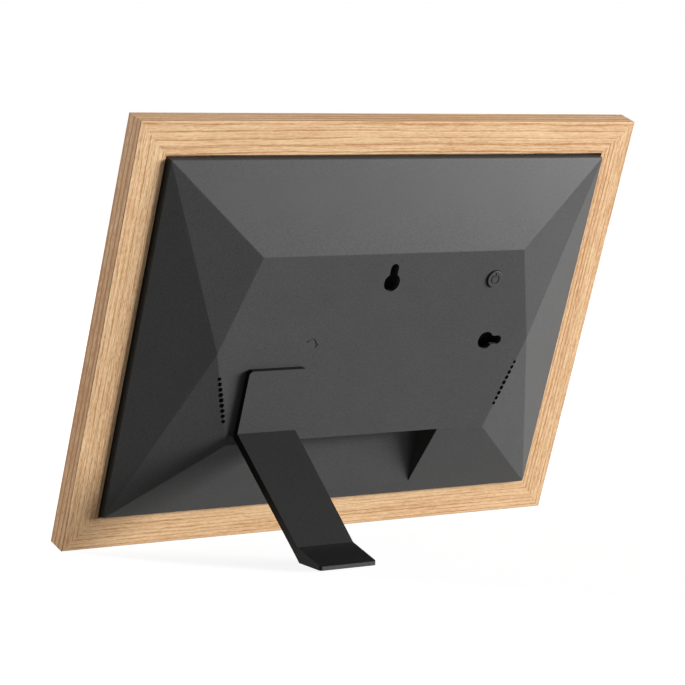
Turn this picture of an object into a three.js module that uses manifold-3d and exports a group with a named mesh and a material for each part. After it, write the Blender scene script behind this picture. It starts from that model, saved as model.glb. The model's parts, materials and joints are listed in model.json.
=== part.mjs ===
// Digital photo frame: mitred oak surround, ten-inch display, faceted rear cover and a swivel stand.
// Millimetres. Inside the leaning group x runs across the frame, y from the screen face (0) to the rear
// and z up the frame. The finished part stands on z = 0 with its screen towards -Y.
import * as THREE from 'three';
import { mergeVertices } from 'three/addons/utils/BufferGeometryUtils.js';
import { ConvexGeometry } from 'three/addons/geometries/ConvexGeometry.js';
import Module from 'manifold-3d';

const wasm = await Module();
wasm.setup();

// ---------------------------------------------------------------- driving dimensions

const seatGap = 0.25; // between two pieces that rest on each other
const fitGap = 0.3; // around a pin, boss or screw in its hole

// Surround
const frameWidth = 260;
const frameHeight = 195.7;
const frameDepth = 10.6;
const railWidth = 15; // on the rear face
const edgeChamfer = 0.6;
const mitreGap = 0.25;
const lean = THREE.MathUtils.degToRad(19.8); // backwards from upright
const dowelRadius = 2;
const dowelLength = 11;

// Display
const lipThickness = 2; // oak in front of the glass
const lipOverlapX = 3.6;
const lipOverlapZ = 3;
const gasketThickness = 0.4;
const glassThickness = 1.6;
const glassPlay = 0.4;
const glassLedge = 4.45; // oak above and below the glass, under the chassis
const gasketMargin = 0.5; // of the lip past the gasket's inner edge
const cellBorderX = 1.6; // of glass past the cell
const cellBorderZ = 5;
const cellThickness = 0.9;
const backlightBorderX = 0.4; // of glass past the backlight
const backlightBorderZ = 3.5;
const backlightThickness = 1.4;

// Chassis
const sheet = 1; // steel thickness
const flangeClearance = 0.5; // to the cover's walls
const cornerRelief = 6;
const earWidth = 11;
const earSetback = 29; // of an ear's middle from the cover's side
const earClearance = 1; // between an ear and the flange beside it
const clipSpacing = 90;
const clipWidth = 8;
const clipHeight = 1.2;
const clipReach = 0.3; // past the flange
const chassisWindowWidth = 50;
const chassisWindowHeight = 34;
const chassisWindowMarginX = 11.5; // of sheet outside a window
const chassisWindowMarginZ = 20.35;
const ribbonSlotHeight = 8;
const ribbonSlotPlay = 2; // at each side of the ribbon

// Rear cover
const coverWall = 2;
const coverGap = 1; // to the oak all round
const rimRise = 2.6; // above the oak's rear face
const flatRise = 16.9; // above the oak's rear face
const flatHalfHeight = 43.5;
const flatHalfTop = 69.1;
const flatHalfWaist = 82.6;
const recessHalfWidth = 43.4;
const recessDepth = 11.7;
const recessInset = 0.5; // of its upper wall from the edge of the flat
const keyholeRadius = 4.15;
const keyholeSlotRadius = 2.1;
const keyholeTravel = 6.7;
const keyholeDepth = 6.4; // behind the cover's wall
const keyholeMargin = 1;
const keyholeShell = 1.4;
const uprightKeyholeZ = 30;
const sidewaysKeyholeX = -59.1;
const grilleCount = 9;
const grillePitch = 2.65;
const grilleStart = 12.2; // along the crease, from the waist corner
const grilleSmall = 0.8; // radius of the end holes
const grilleLarge = 1.05; // radius of the middle hole
const engraving = 0.3;
const markX = 35.8;
const markZ = 2.2;
const markRadius = 2.6;
const markLine = 0.7;
const markTipHalf = 1.3; // of the arrow's tip, across
const markTipLength = 1.9;
const markTipBase = 0.4; // above the arc's middle

// Main board
const boardWidth = 85;
const boardHeight = 58.5;
const boardThickness = 1.6;
const boardX = -7.5;
const boardFloor = 6; // height of its underside above the chassis
const boardHoleInset = 4;
const boardEdgeGap = 0.5; // to the recess wall
const connectorWall = 1.5; // at each side of the ribbon
const connectorDepth = 5;
const connectorHeight = 1.6;
const connectorInset = 1.5; // from the board's upper edge
const connectorMouth = 3; // how far the ribbon goes in
const spacerRadius = 2.5;
const portPlay = 0.4; // of an opening round its socket
const inletSetback = 10.5; // from the board's side
const inletWidth = 9;
const inletHeight = 6.6;
const inletLength = 11;
const inletBore = 3;
const inletPin = 0.9;
const inletDepth = 9;
const inletPinSetback = 1;
const usbGap = 4.5; // from the card slot
const usbWidth = 13.2;
const usbHeight = 5.8;
const usbLength = 14;
const usbShell = 0.6;
const usbTongue = 1.8;
const tongueSetback = 2; // behind a socket's mouth
const socketBack = 2; // thickness of a socket's closed end
const cardSetback = 8.5; // from the board's side
const cardWidth = 25;
const cardHeight = 3;
const cardLength = 26;
const cardShell = 0.5;

// Speakers
const speakerWidth = 15;
const speakerLength = 26;
const speakerDepth = 8;
const speakerInset = 7.6; // of its middle from the flat's waist corner
const speakerEar = 5;
const speakerEarThickness = 1.6;
const speakerDrop = 5.5; // of the ears below the inside of the flat
const speakerRim = 1; // of its case above the ears
const coneRadius = 6;
const coneDepth = 0.6;
const leadDrop = 3; // of a speaker's lead below the board's underside
const leadLift = 4; // from there back to the speaker
const leadBend = 3; // out from the speaker
const leadRun = 6; // along z from the speaker to the board
const leadLanding = 4; // under the board's edge

// Power button
const buttonX = -55.8;
const buttonZ = 30.1;
const buttonRadius = 3.9;
const buttonProud = 0.8;
const buttonFlangeRadius = 5;
const buttonFlange = 1.2;
const buttonStemRadius = 1.5;
const buttonStemLength = 1.6;
const buttonTravel = 0.6;
const plungerRadius = 1.1;
const plungerLength = 2;
const plungerProud = 1.2;
const switchSize = 6;
const switchHeight = 3.2;
const buttonBoardMargin = 2.5; // past the middle of each screw
const buttonBoardHeight = 12;
const buttonBoardThickness = 1.2;
const symbolRadius = 2;
const symbolLine = 0.55;

// Stand
const standX = 51.35;
const standZ = -22.65;
const plateSize = 29.6;
const plateHeight = 30;
const plateThickness = 2.5;
const plateCorner = 2;
const plateBendRise = 0.8; // of the bend above the plate's lower edge
const armThickness = 3.7;
const footWidth = 28.2;
const bendReach = 85.2; // from the oak's resting edge back to the bend above the foot
const bendHeight = 7.7; // of that bend above the table
const heelHeight = 1.3; // of the foot's under side where the arm meets it
const footReach = 102.3; // back to the end of the foot
const footTop = 1.9; // height of the foot's upper edge at its end
const footLift = 0.2; // of its lower edge there
const padLength = 8;
const padWidth = 22;
const padThickness = 1;
const padSetback = 3; // in front of the foot's end
const hubRadius = 6.5;
const washerRadius = 11;
const washerThickness = 0.6;
const retainerRadius = 10.5;
const retainerThickness = 1.2;
const hubScrewLength = 6;

// Fasteners
const woodScrew = { shank: 0.8, head: 1.5, headHeight: 1.2, length: 5 };
const boardScrew = { shank: 1.1, head: 2.1, headHeight: 1.4, length: 4.5 };
const smallScrew = { shank: 0.9, head: 1.7, headHeight: 1.2, length: 4 };
const hubScrew = { shank: 1.5, head: 3, headHeight: 1.8, length: hubScrewLength };
const bossRadius = 2.3;

// Leads
const leadRadius = 0.6;
const ribbonWidth = 25;
const ribbonThickness = 0.3;
const ribbonRise = 4.5; // where it comes through the chassis, above the board
const ribbonDip = 1.2; // from the chassis to its bend
const buttonLeadStart = 4; // below the button's middle
const buttonLeadBend = { out: 3, down: 9, back: 2 };
const buttonLeadLanding = { out: 6, in: 9, over: 2, sag: 0.6, under: 4 };

// ---------------------------------------------------------------- levels and sizes that follow

const gasketFront = lipThickness + seatGap;
const glassFront = gasketFront + gasketThickness + seatGap;
const cellFront = glassFront + glassThickness + seatGap;
const backlightFront = cellFront + cellThickness + seatGap;
const ledgeLevel = backlightFront + backlightThickness;
const chassisFront = ledgeLevel + seatGap;
const chassisBack = chassisFront + sheet;
const coverFront = chassisBack + seatGap;
const rimLevel = frameDepth + rimRise;
const flatLevel = frameDepth + flatRise;
const flatInside = flatLevel - coverWall;
const speakerX = flatHalfWaist - speakerInset;
const keyholePocketHalf = keyholeRadius + keyholeMargin;
const speakerTop = -keyholePocketHalf - keyholeShell - fitGap;
const speakerZ = speakerTop - speakerEar - speakerLength / 2;
const speakerScrewReach = speakerLength / 2 + bossRadius + seatGap;
const openingHalfX = frameWidth / 2 - railWidth;
const openingHalfZ = frameHeight / 2 - railWidth;
const glassWidth = 2 * (openingHalfX - glassPlay);
const glassHeight = 2 * (openingHalfZ - glassLedge - glassPlay);
const cellWidth = glassWidth - 2 * cellBorderX;
const cellHeight = glassHeight - 2 * cellBorderZ;
const backlightWidth = glassWidth - 2 * backlightBorderX;
const backlightHeight = glassHeight - 2 * backlightBorderZ;
const coverHalfX = openingHalfX - coverGap;
const coverHalfZ = openingHalfZ - coverGap;
const sideSlope = Math.atan2(flatLevel - rimLevel, coverHalfX - flatHalfWaist);
const endSlope = Math.atan2(flatLevel - rimLevel, coverHalfZ - flatHalfHeight);
const windowHalfX = glassWidth / 2 - lipOverlapX;
const windowHalfZ = glassHeight / 2 - lipOverlapZ;
const pocketHalfX = glassWidth / 2 + glassPlay;
const pocketHalfZ = glassHeight / 2 + glassPlay;
const flangeHalfX = coverHalfX - coverWall - flangeClearance;
const flangeHalfZ = coverHalfZ - coverWall - flangeClearance;
const earScrewZ = coverHalfZ - woodScrew.head;
const earSpacing = 2 * (coverHalfX - earSetback);
const chassisWindowX = flangeHalfX - chassisWindowMarginX - chassisWindowWidth / 2;
const chassisWindowZ = flangeHalfZ - chassisWindowMarginZ - chassisWindowHeight / 2;
const rimInside = rimLevel - (coverWall * (1 - Math.sin(endSlope))) / Math.cos(endSlope);
const flangeHeight = rimInside - flangeClearance - chassisBack;
const clipLevel = chassisBack + flangeHeight / 2;
const recessTop = -(flatHalfHeight - recessInset);
const recessFloor = flatLevel - recessDepth;
const boardBottom = recessTop + coverWall + boardEdgeGap;
const boardZ = boardBottom + boardHeight / 2;
const boardTop = boardBottom + boardHeight;
const ribbonZ = boardTop + ribbonRise;
const cardX = boardX - boardWidth / 2 + cardSetback + cardWidth / 2;
const usbX = cardX + cardWidth / 2 + usbGap + usbWidth / 2;
const inletX = boardX + boardWidth / 2 - inletSetback - inletWidth / 2;
const boardFront = chassisBack + boardFloor;
const boardBack = boardFront + boardThickness;
const partsLevel = boardBack + seatGap;
const connectorLevel = partsLevel + connectorHeight / 2;
const plateFront = flatLevel + fitGap;
const plateBack = plateFront + plateThickness;

const colours = {
  oak: [0xd9b183, 0.62, 0],
  beech: [0xc9a36c, 0.7, 0],
  glass: [0x0b0c0e, 0.08, 0],
  foam: [0x1c1c1c, 0.95, 0],
  panel: [0x15171c, 0.25, 0],
  white: [0xd8dadb, 0.5, 0],
  steel: [0x9fa3a6, 0.4, 0.9],
  abs: [0x323232, 0.6, 0],
  board: [0x1d5a3a, 0.5, 0],
  chip: [0x202226, 0.45, 0],
  socket: [0xb4b6b8, 0.35, 0.9],
  brass: [0xb79a55, 0.35, 0.9],
  nylon: [0xe6e2d6, 0.5, 0],
  rubber: [0x1a1a1a, 0.9, 0],
  ribbon: [0xb9773a, 0.5, 0],
  wire: [0x232325, 0.6, 0],
};

// ---------------------------------------------------------------- building helpers

function look(name) {
  const [color, roughness, metalness] = colours[name];
  return new THREE.MeshStandardMaterial({ color, roughness, metalness });
}

function solid(geometry) {
  const bare = geometry.clone();
  bare.deleteAttribute('normal');
  bare.deleteAttribute('uv');
  const merged = mergeVertices(bare, 1e-4);
  const vertProperties = new Float32Array(merged.attributes.position.array);
  const triVerts = new Uint32Array(merged.index.array);
  return new wasm.Manifold(new wasm.Mesh({ numProp: 3, vertProperties, triVerts }));
}

function piece(name, body, lookName) {
  const { vertProperties, triVerts } = body.getMesh();
  const geometry = new THREE.BufferGeometry();
  geometry.setAttribute('position', new THREE.BufferAttribute(vertProperties, 3));
  geometry.setIndex(new THREE.BufferAttribute(triVerts, 1));
  geometry.computeVertexNormals();
  const mesh = new THREE.Mesh(geometry, look(lookName));
  mesh.name = name;
  return mesh;
}

// Numbered copies of one kind of piece.
function addEach(group, name, bodies, lookName) {
  bodies.forEach((body, i) => group.add(piece(`${name}_${i + 1}`, body, lookName)));
}

function join(bodies) {
  return bodies.reduce((sum, body) => sum.add(body));
}

function cut(body, cutters) {
  return cutters.reduce((rest, cutter) => rest.subtract(cutter), body);
}

// A box between two corners, each given as [x, y, z].
function block(low, high) {
  const size = high.map((value, i) => value - low[i]);
  const middle = high.map((value, i) => (value + low[i]) / 2);
  return solid(new THREE.BoxGeometry(...size).translate(...middle));
}

// A box centred on x and z, between two depths.
function slab(x, z, width, height, front, back) {
  return block([x - width / 2, front, z - height / 2], [x + width / 2, back, z + height / 2]);
}

// A round bar along y.
function bar(x, z, radius, front, back, sides = 24) {
  const geometry = new THREE.CylinderGeometry(radius, radius, back - front, sides);
  return solid(geometry.translate(x, (front + back) / 2, z));
}

// An outline drawn in x and z, given depth from front to back.
function panel(shape, front, back, curveSegments = 8) {
  const geometry = new THREE.ExtrudeGeometry(shape, {
    depth: back - front,
    bevelEnabled: false,
    curveSegments,
  });
  return solid(geometry.rotateX(Math.PI / 2).translate(0, back, 0));
}

// An outline drawn in y and z, drawn out along x.
function section(points, left, right) {
  const shape = new THREE.Shape(points.map(([y, z]) => new THREE.Vector2(y, z)));
  const geometry = new THREE.ExtrudeGeometry(shape, { depth: right - left, bevelEnabled: false });
  const turn = new THREE.Matrix4().makeBasis(
    new THREE.Vector3(0, 1, 0),
    new THREE.Vector3(0, 0, 1),
    new THREE.Vector3(1, 0, 0),
  );
  return solid(geometry.applyMatrix4(turn).translate(left, 0, 0));
}

// A band of an arc drawn in x and z.
function arcBand(x, z, radius, line, from, to) {
  const shape = new THREE.Shape();
  shape.absarc(x, z, radius + line / 2, from, to, false);
  shape.absarc(x, z, radius - line / 2, to, from, true);
  return shape;
}

// A pan-head screw along y. Its head's underside is at y = seat, its shank runs to the front.
function screw(type, x, z, seat, sides = 12) {
  return join([
    bar(x, z, type.head, seat, seat + type.headHeight, sides),
    bar(x, z, type.shank, seat - type.length, seat + type.headHeight / 2, sides),
  ]);
}

function screwHole(type, x, z, front, back) {
  return bar(x, z, type.shank + fitGap, front, back, 12);
}

// The same screw turned about, with its head to the front and its shank to the rear.
function backScrew(type, x, z, seat, sides = 12) {
  return join([
    bar(x, z, type.head, seat - type.headHeight, seat, sides),
    bar(x, z, type.shank, seat - type.headHeight / 2, seat + type.length, sides),
  ]);
}

function lead(points, steps) {
  const curve = new THREE.CatmullRomCurve3(points.map((point) => new THREE.Vector3(...point)));
  const ring = new THREE.Shape();
  ring.absarc(0, 0, leadRadius, 0, 2 * Math.PI);
  const options = { steps, extrudePath: curve, bevelEnabled: false, curveSegments: 4 };
  return solid(new THREE.ExtrudeGeometry(ring, options));
}

// ---------------------------------------------------------------- oak surround

const railReach = frameWidth; // longer than any rail, trimmed by the mitres

// The surround's section at a rail, with y across the depth and z outwards to the rail's edge.
function railSection(outer) {
  const c = edgeChamfer;
  const inner = outer - 2 * railWidth;
  return [
    [0, inner],
    [frameDepth, inner],
    [frameDepth, outer - c],
    [frameDepth - c, outer],
    [c, outer],
    [0, outer - c],
  ];
}

// The outline that a rail on side z > 0 may fill, cut along both mitres.
function mitreWedge(halfLength, halfSpan) {
  const halfOuter = halfLength - mitreGap / Math.SQRT2;
  const halfInner = halfOuter - 2 * railWidth;
  return new THREE.Shape([
    new THREE.Vector2(-halfInner, halfSpan - 2 * railWidth),
    new THREE.Vector2(halfInner, halfSpan - 2 * railWidth),
    new THREE.Vector2(halfOuter, halfSpan),
    new THREE.Vector2(-halfOuter, halfSpan),
  ]);
}

function railPockets() {
  return [
    slab(0, 0, 2 * windowHalfX, 2 * windowHalfZ, -1, frameDepth + 1),
    slab(0, 0, 2 * pocketHalfX, 2 * pocketHalfZ, lipThickness, frameDepth + 1),
    slab(0, 0, 2 * openingHalfX, 2 * openingHalfZ, ledgeLevel, frameDepth + 1),
  ];
}

// Each corner's dowel crosses its mitre square on, in the middle of the oak.
function dowel(signX, signZ, radius, length) {
  const geometry = new THREE.CylinderGeometry(radius, radius, length, 16);
  geometry.rotateZ(Math.PI / 2);
  geometry.rotateY((signX * signZ * Math.PI) / 4);
  const x = signX * (frameWidth - railWidth) / 2;
  const z = signZ * (frameHeight - railWidth) / 2;
  return solid(geometry.translate(x, frameDepth / 2, z));
}

const corners = [[-1, -1], [1, -1], [-1, 1], [1, 1]];
const earXs = [-earSpacing / 2, earSpacing / 2];

function makeSurround() {
  const group = new THREE.Group();
  const holes = corners.map(([i, k]) => dowel(i, k, dowelRadius + fitGap, dowelLength + 2 * fitGap));
  const pilotFront = ledgeLevel - woodScrew.length;
  const pilots = [-1, 1].flatMap((side) =>
    earXs.map((x) => screwHole(woodScrew, x, side * earScrewZ, pilotFront, frameDepth)));
  const rails = [
    ['rail_top', 0, frameWidth / 2, frameHeight / 2],
    ['rail_right', Math.PI / 2, frameHeight / 2, frameWidth / 2],
    ['rail_bottom', Math.PI, frameWidth / 2, frameHeight / 2],
    ['rail_left', -Math.PI / 2, frameHeight / 2, frameWidth / 2],
  ];
  for (const [name, turn, halfLength, halfSpan] of rails) {
    const stick = section(railSection(halfSpan), -railReach, railReach);
    const wedge = panel(mitreWedge(halfLength, halfSpan), -1, frameDepth + 1);
    const degrees = THREE.MathUtils.radToDeg(turn);
    const rail = stick.intersect(wedge).rotate([0, degrees, 0]);
    group.add(piece(name, cut(rail, [...railPockets(), ...holes, ...pilots]), 'oak'));
  }
  const dowels = corners.map(([i, k]) => dowel(i, k, dowelRadius, dowelLength));
  addEach(group, 'corner_dowel', dowels, 'beech');
  return group;
}

// ---------------------------------------------------------------- display

function makeDisplay() {
  const group = new THREE.Group();
  const gasket = slab(0, 0, glassWidth, glassHeight, gasketFront, gasketFront + gasketThickness);
  const viewHalfX = windowHalfX + gasketMargin;
  const viewHalfZ = windowHalfZ + gasketMargin;
  const view = slab(0, 0, 2 * viewHalfX, 2 * viewHalfZ, 0, glassFront);
  group.add(piece('glass_gasket', gasket.subtract(view), 'foam'));
  const glass = slab(0, 0, glassWidth, glassHeight, glassFront, glassFront + glassThickness);
  group.add(piece('touch_glass', glass, 'glass'));
  const cell = slab(0, 0, cellWidth, cellHeight, cellFront, cellFront + cellThickness);
  group.add(piece('display_cell', cell, 'panel'));
  const light = slab(0, 0, backlightWidth, backlightHeight, backlightFront, ledgeLevel);
  group.add(piece('backlight_tray', light, 'white'));
  return group;
}

// ---------------------------------------------------------------- chassis

function clipPlaces() {
  const half = clipSpacing / 2;
  const places = [];
  for (const side of [-1, 1]) {
    for (const along of [-half, half]) {
      places.push({ x: along, z: side * flangeHalfZ, side, onEnd: false });
      places.push({ x: side * flangeHalfX, z: along, side, onEnd: true });
    }
  }
  return places;
}

// A box at a clip, running inwards from the cover's wall and widened by play.
function clipBlock(place, outside, inside, play) {
  const along = clipWidth / 2 + play;
  const up = clipHeight / 2 + play;
  const [a, b] = [outside, inside].map((reach) => place.side * reach);
  const low = Math.min(a, b);
  const high = Math.max(a, b);
  const [x, z] = place.onEnd ? [[low, high], [-along, along]] : [[-along, along], [low, high]];
  return block(
    [place.x + x[0], clipLevel - up, place.z + z[0]],
    [place.x + x[1], clipLevel + up, place.z + z[1]],
  );
}

function makeChassis() {
  const group = new THREE.Group();
  const flangeTop = chassisBack + flangeHeight;
  const base = slab(0, 0, 2 * flangeHalfX, 2 * flangeHalfZ, chassisFront, chassisBack);
  const wall = slab(0, 0, 2 * flangeHalfX, 2 * flangeHalfZ, chassisFront, flangeTop);
  const inside = slab(0, 0, 2 * (flangeHalfX - sheet), 2 * (flangeHalfZ - sheet), 0, flangeTop + 1);
  const ears = earXs.map((x) =>
    slab(x, 0, earWidth, 2 * coverHalfZ, chassisFront, chassisBack));
  const relief = 2 * cornerRelief;
  const reliefs = corners.map(([i, k]) =>
    slab(i * flangeHalfX, k * flangeHalfZ, relief, relief, chassisBack, flangeTop + 1));
  const earGaps = earXs.map((x) =>
    slab(x, 0, earWidth + 2 * earClearance, 2 * flangeHalfZ + 2, chassisBack, flangeTop + 1));
  const windows = clipPlaces().map((place) => clipBlock(place, 1, -sheet - 1, fitGap));
  const lightening = [-1, 1].flatMap((i) => [-1, 1].map((k) =>
    slab(i * chassisWindowX, k * chassisWindowZ, chassisWindowWidth, chassisWindowHeight,
      0, chassisBack + 1)));
  const slotWidth = ribbonWidth + 2 * ribbonSlotPlay;
  const slot = slab(boardX, ribbonZ, slotWidth, ribbonSlotHeight, 0, chassisBack + 1);
  const screwHoles = [-1, 1].flatMap((side) =>
    earXs.map((x) => screwHole(woodScrew, x, side * earScrewZ, 0, chassisBack + 1)));
  const plate = cut(join([base, ...ears]), [...lightening, slot, ...screwHoles]);
  const flange = cut(wall, [inside, ...reliefs, ...earGaps, ...windows]);
  group.add(piece('chassis_plate', plate.add(flange), 'steel'));
  const screws = [-1, 1].flatMap((side) =>
    earXs.map((x) => screw(woodScrew, x, side * earScrewZ, chassisBack + seatGap)));
  addEach(group, 'chassis_screw', screws, 'steel');
  return group;
}

// ---------------------------------------------------------------- rear cover

// The faceted form, or the same form moved inwards by a wall thickness.
function coverForm(wall, front) {
  const x = coverHalfX - wall;
  const z = coverHalfZ - wall;
  const rim = rimLevel - (wall * (1 - Math.sin(endSlope))) / Math.cos(endSlope);
  const flat = flatLevel - wall;
  const insetX = wall * Math.tan(sideSlope / 2);
  const insetZ = wall * Math.tan(endSlope / 2);
  const points = corners.flatMap(([i, k]) => [
    new THREE.Vector3(i * x, front, k * z),
    new THREE.Vector3(i * x, rim, k * z),
    new THREE.Vector3(i * (flatHalfTop - insetX), flat, k * (flatHalfHeight - insetZ)),
  ]);
  for (const i of [-1, 1]) {
    points.push(new THREE.Vector3(i * (flatHalfWaist - insetX), flat, 0));
  }
  return solid(new ConvexGeometry(points));
}

// A keyhole with its slot running away along (dx, dz).
function keyholeShape(x, z, dx, dz, radius, slotRadius, travel) {
  const shape = new THREE.Shape();
  const heading = Math.atan2(dz, dx);
  const spread = Math.asin(slotRadius / radius);
  shape.absarc(x, z, radius, heading + spread, heading - spread + 2 * Math.PI, false);
  const end = [x + dx * travel, z + dz * travel];
  shape.absarc(...end, slotRadius, heading - Math.PI / 2, heading + Math.PI / 2, false);
  return shape;
}

const keyholes = [
  { x: 0, z: uprightKeyholeZ, dx: 0, dz: 1 },
  { x: sidewaysKeyholeX, z: 0, dx: -1, dz: 0 },
];

// The space behind a keyhole, as wide as a screw head needs, grown by extra.
function keyholePocket({ x, z, dx, dz }, extra, front, back) {
  const half = keyholePocketHalf + extra;
  const farX = x + dx * (keyholeTravel - keyholeRadius + keyholeSlotRadius);
  const farZ = z + dz * (keyholeTravel - keyholeRadius + keyholeSlotRadius);
  return block(
    [Math.min(x, farX) - half, front, Math.min(z, farZ) - half],
    [Math.max(x, farX) + half, back, Math.max(z, farZ) + half],
  );
}

function grilleHoles() {
  const crease = new THREE.Vector2(flatHalfTop - flatHalfWaist, -flatHalfHeight).normalize();
  const holes = [];
  for (const side of [-1, 1]) {
    for (let i = 0; i < grilleCount; i += 1) {
      const run = grilleStart + i * grillePitch;
      const swell = Math.sin((Math.PI * i) / (grilleCount - 1));
      const radius = grilleSmall + (grilleLarge - grilleSmall) * swell;
      const x = side * (flatHalfWaist + crease.x * run);
      holes.push(bar(x, crease.y * run, radius, flatInside - coverWall, flatLevel + 1, 10));
    }
  }
  return holes;
}

// A round bar along z, standing on a height z and reaching up by its length.
function upright(x, y, radius, z, length, sides = 20) {
  const geometry = new THREE.CylinderGeometry(radius, radius, length, sides).rotateX(Math.PI / 2);
  return solid(geometry.translate(x, y, z + length / 2));
}

// The sockets' openings through the upper wall of the recess.
function portOpenings() {
  const low = recessTop - 1;
  const high = recessTop + coverWall + 1;
  const sockets = [
    [usbX, usbWidth, usbHeight],
    [cardX, cardWidth, cardHeight],
  ];
  const slots = sockets.map(([x, width, height]) => block(
    [x - width / 2 - portPlay, partsLevel - portPlay, low],
    [x + width / 2 + portPlay, partsLevel + height + portPlay, high],
  ));
  return [...slots, upright(inletX, partsLevel + inletHeight / 2, inletBore + portPlay, low, high - low)];
}

// A turning arrow beside the stand, cut into the flat.
function turnMark() {
  const arc = arcBand(markX, markZ, markRadius, markLine, 0.15 * Math.PI, 0.95 * Math.PI);
  const tip = new THREE.Shape([
    new THREE.Vector2(markX - markRadius - markTipHalf, markZ + markTipBase),
    new THREE.Vector2(markX - markRadius, markZ + markTipBase - markTipLength),
    new THREE.Vector2(markX - markRadius + markTipHalf, markZ + markTipBase),
  ]);
  const depth = [flatLevel - engraving, flatLevel + 1];
  return join([panel(arc, ...depth, 10), panel(tip, ...depth)]);
}

const buttonScrewSpacing = 2 * (buttonFlangeRadius + fitGap + bossRadius);
const buttonBoardWidth = buttonScrewSpacing + 2 * buttonBoardMargin;
const speakerBosses = [-1, 1].flatMap((side) =>
  [-1, 1].map((end) => [side * speakerX, speakerZ + end * speakerScrewReach]));
const buttonBosses = [-1, 1].map((side) => [buttonX + (side * buttonScrewSpacing) / 2, buttonZ]);
const speakerEarBack = flatInside - speakerDrop;
const buttonFlangeBack = flatInside - seatGap;
const buttonFlangeFront = buttonFlangeBack - buttonFlange;
const plungerBack = buttonFlangeFront - buttonStemLength - seatGap;
const switchBack = plungerBack - plungerProud;
const buttonBoardBack = switchBack - switchHeight - seatGap;

function makeCover() {
  const outer = coverForm(0, coverFront);
  const inner = coverForm(coverWall, coverFront - 1);
  const far = frameHeight;
  const recessShell = block(
    [-recessHalfWidth - coverWall, recessFloor - coverWall, -far],
    [recessHalfWidth + coverWall, flatLevel + 1, recessTop + coverWall],
  );
  const recess = block(
    [-recessHalfWidth, recessFloor, -far],
    [recessHalfWidth, flatLevel + 1, recessTop],
  );
  const pocketFront = flatInside - keyholeDepth;
  const pocketShells = keyholes.map((hole) =>
    keyholePocket(hole, keyholeShell, pocketFront - keyholeShell, flatInside + coverWall / 2));
  const pockets = keyholes.map((hole) => keyholePocket(hole, 0, pocketFront, flatInside));
  const keyholeCuts = keyholes.map(({ x, z, dx, dz }) =>
    panel(keyholeShape(x, z, dx, dz, keyholeRadius, keyholeSlotRadius, keyholeTravel),
      flatInside - 1, flatLevel + 1, 12));
  const posts = [
    ...speakerBosses.map(([x, z]) => ({ x, z, seat: speakerEarBack })),
    ...buttonBosses.map(([x, z]) => ({ x, z, seat: buttonBoardBack })),
  ];
  const bosses = posts.map(({ x, z, seat }) =>
    bar(x, z, bossRadius, seat + seatGap, flatLevel - coverWall / 2, 12));
  const bossHoles = posts.map(({ x, z, seat }) =>
    screwHole(smallScrew, x, z, 0, seat + smallScrew.length));
  const clips = clipPlaces().map((place) =>
    clipBlock(place, flangeClearance + coverWall / 2, -sheet - clipReach, 0));
  const notchBack = chassisBack + seatGap + woodScrew.headHeight + fitGap;
  const notches = earXs.map((x) => slab(x, 0, earWidth, 2 * coverHalfZ + 2, 0, notchBack));
  const shell = outer.subtract(inner);
  const inserts = join([recessShell, ...pocketShells, ...bosses]).intersect(outer);
  const body = cut(join([shell, inserts, ...clips]), [
    recess,
    ...pockets,
    ...keyholeCuts,
    ...grilleHoles(),
    ...portOpenings(),
    ...bossHoles,
    ...notches,
    bar(buttonX, buttonZ, buttonRadius + fitGap, flatInside - 1, flatLevel + 1),
    bar(standX, standZ, hubRadius + fitGap, flatInside - 1, flatLevel + 1),
    turnMark(),
  ]);
  return piece('rear_cover', body, 'abs');
}

// ---------------------------------------------------------------- main board and sockets

function boardScrewPlaces() {
  const halfX = boardWidth / 2 - boardHoleInset;
  const halfZ = boardHeight / 2 - boardHoleInset;
  return corners.map(([i, k]) => [i * halfX, k * halfZ]);
}

function makePowerInlet() {
  const back = partsLevel + inletHeight;
  const x = inletX - boardX;
  const mouth = -boardHeight / 2;
  const low = [x - inletWidth / 2, partsLevel, mouth];
  const body = block(low, [x + inletWidth / 2, back, mouth + inletLength]);
  const centre = partsLevel + inletHeight / 2;
  const bore = upright(x, centre, inletBore, mouth - 1, inletDepth + 1);
  const pin = upright(x, centre, inletPin, mouth + inletPinSetback, inletDepth, 10);
  return piece('power_inlet', body.subtract(bore).add(pin), 'chip');
}

// A metal-shelled socket open towards the recess, with a contact tongue standing in it.
function makeSocket(name, centre, width, height, length, shell, tongue) {
  const x = centre - boardX;
  const mouth = -boardHeight / 2;
  const back = partsLevel + height;
  const body = block([x - width / 2, partsLevel, mouth], [x + width / 2, back, mouth + length]);
  const space = block(
    [x - width / 2 + shell, partsLevel + shell, mouth - 1],
    [x + width / 2 - shell, back - shell, mouth + length - socketBack],
  );
  const blade = block(
    [x - width / 2 + 2 * shell, back - shell - tongue, mouth + tongueSetback],
    [x + width / 2 - 2 * shell, back - shell / 2, mouth + length - socketBack / 2],
  );
  return piece(name, body.subtract(space).add(blade), 'socket');
}

const chipX = 2; // of the processor from the board's middle
const chipZ = 8;
const chipGap = 4; // between neighbouring chips
const wifiSetback = 3.5; // from the board's side
const wifiZ = -7;
const chipSizes = {
  processor: [15, 15, 1.4],
  memory_chip: [8, 12, 1.1],
  storage_chip: [11, 13, 1],
  wifi_module: [12, 14, 2.2],
};

// The chips' names, places and looks, with the memory and the storage beside the processor.
function chipPlaces() {
  const { processor, memory_chip: memory, storage_chip: storage, wifi_module: wifi } = chipSizes;
  return [
    ['processor', chipX, chipZ, 'chip'],
    ['memory_chip', chipX - (processor[0] + memory[0]) / 2 - chipGap, chipZ, 'chip'],
    ['storage_chip', chipX + (processor[0] + storage[0]) / 2 + chipGap, chipZ, 'chip'],
    ['wifi_module', boardWidth / 2 - wifiSetback - wifi[0] / 2, wifiZ, 'socket'],
  ];
}

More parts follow.
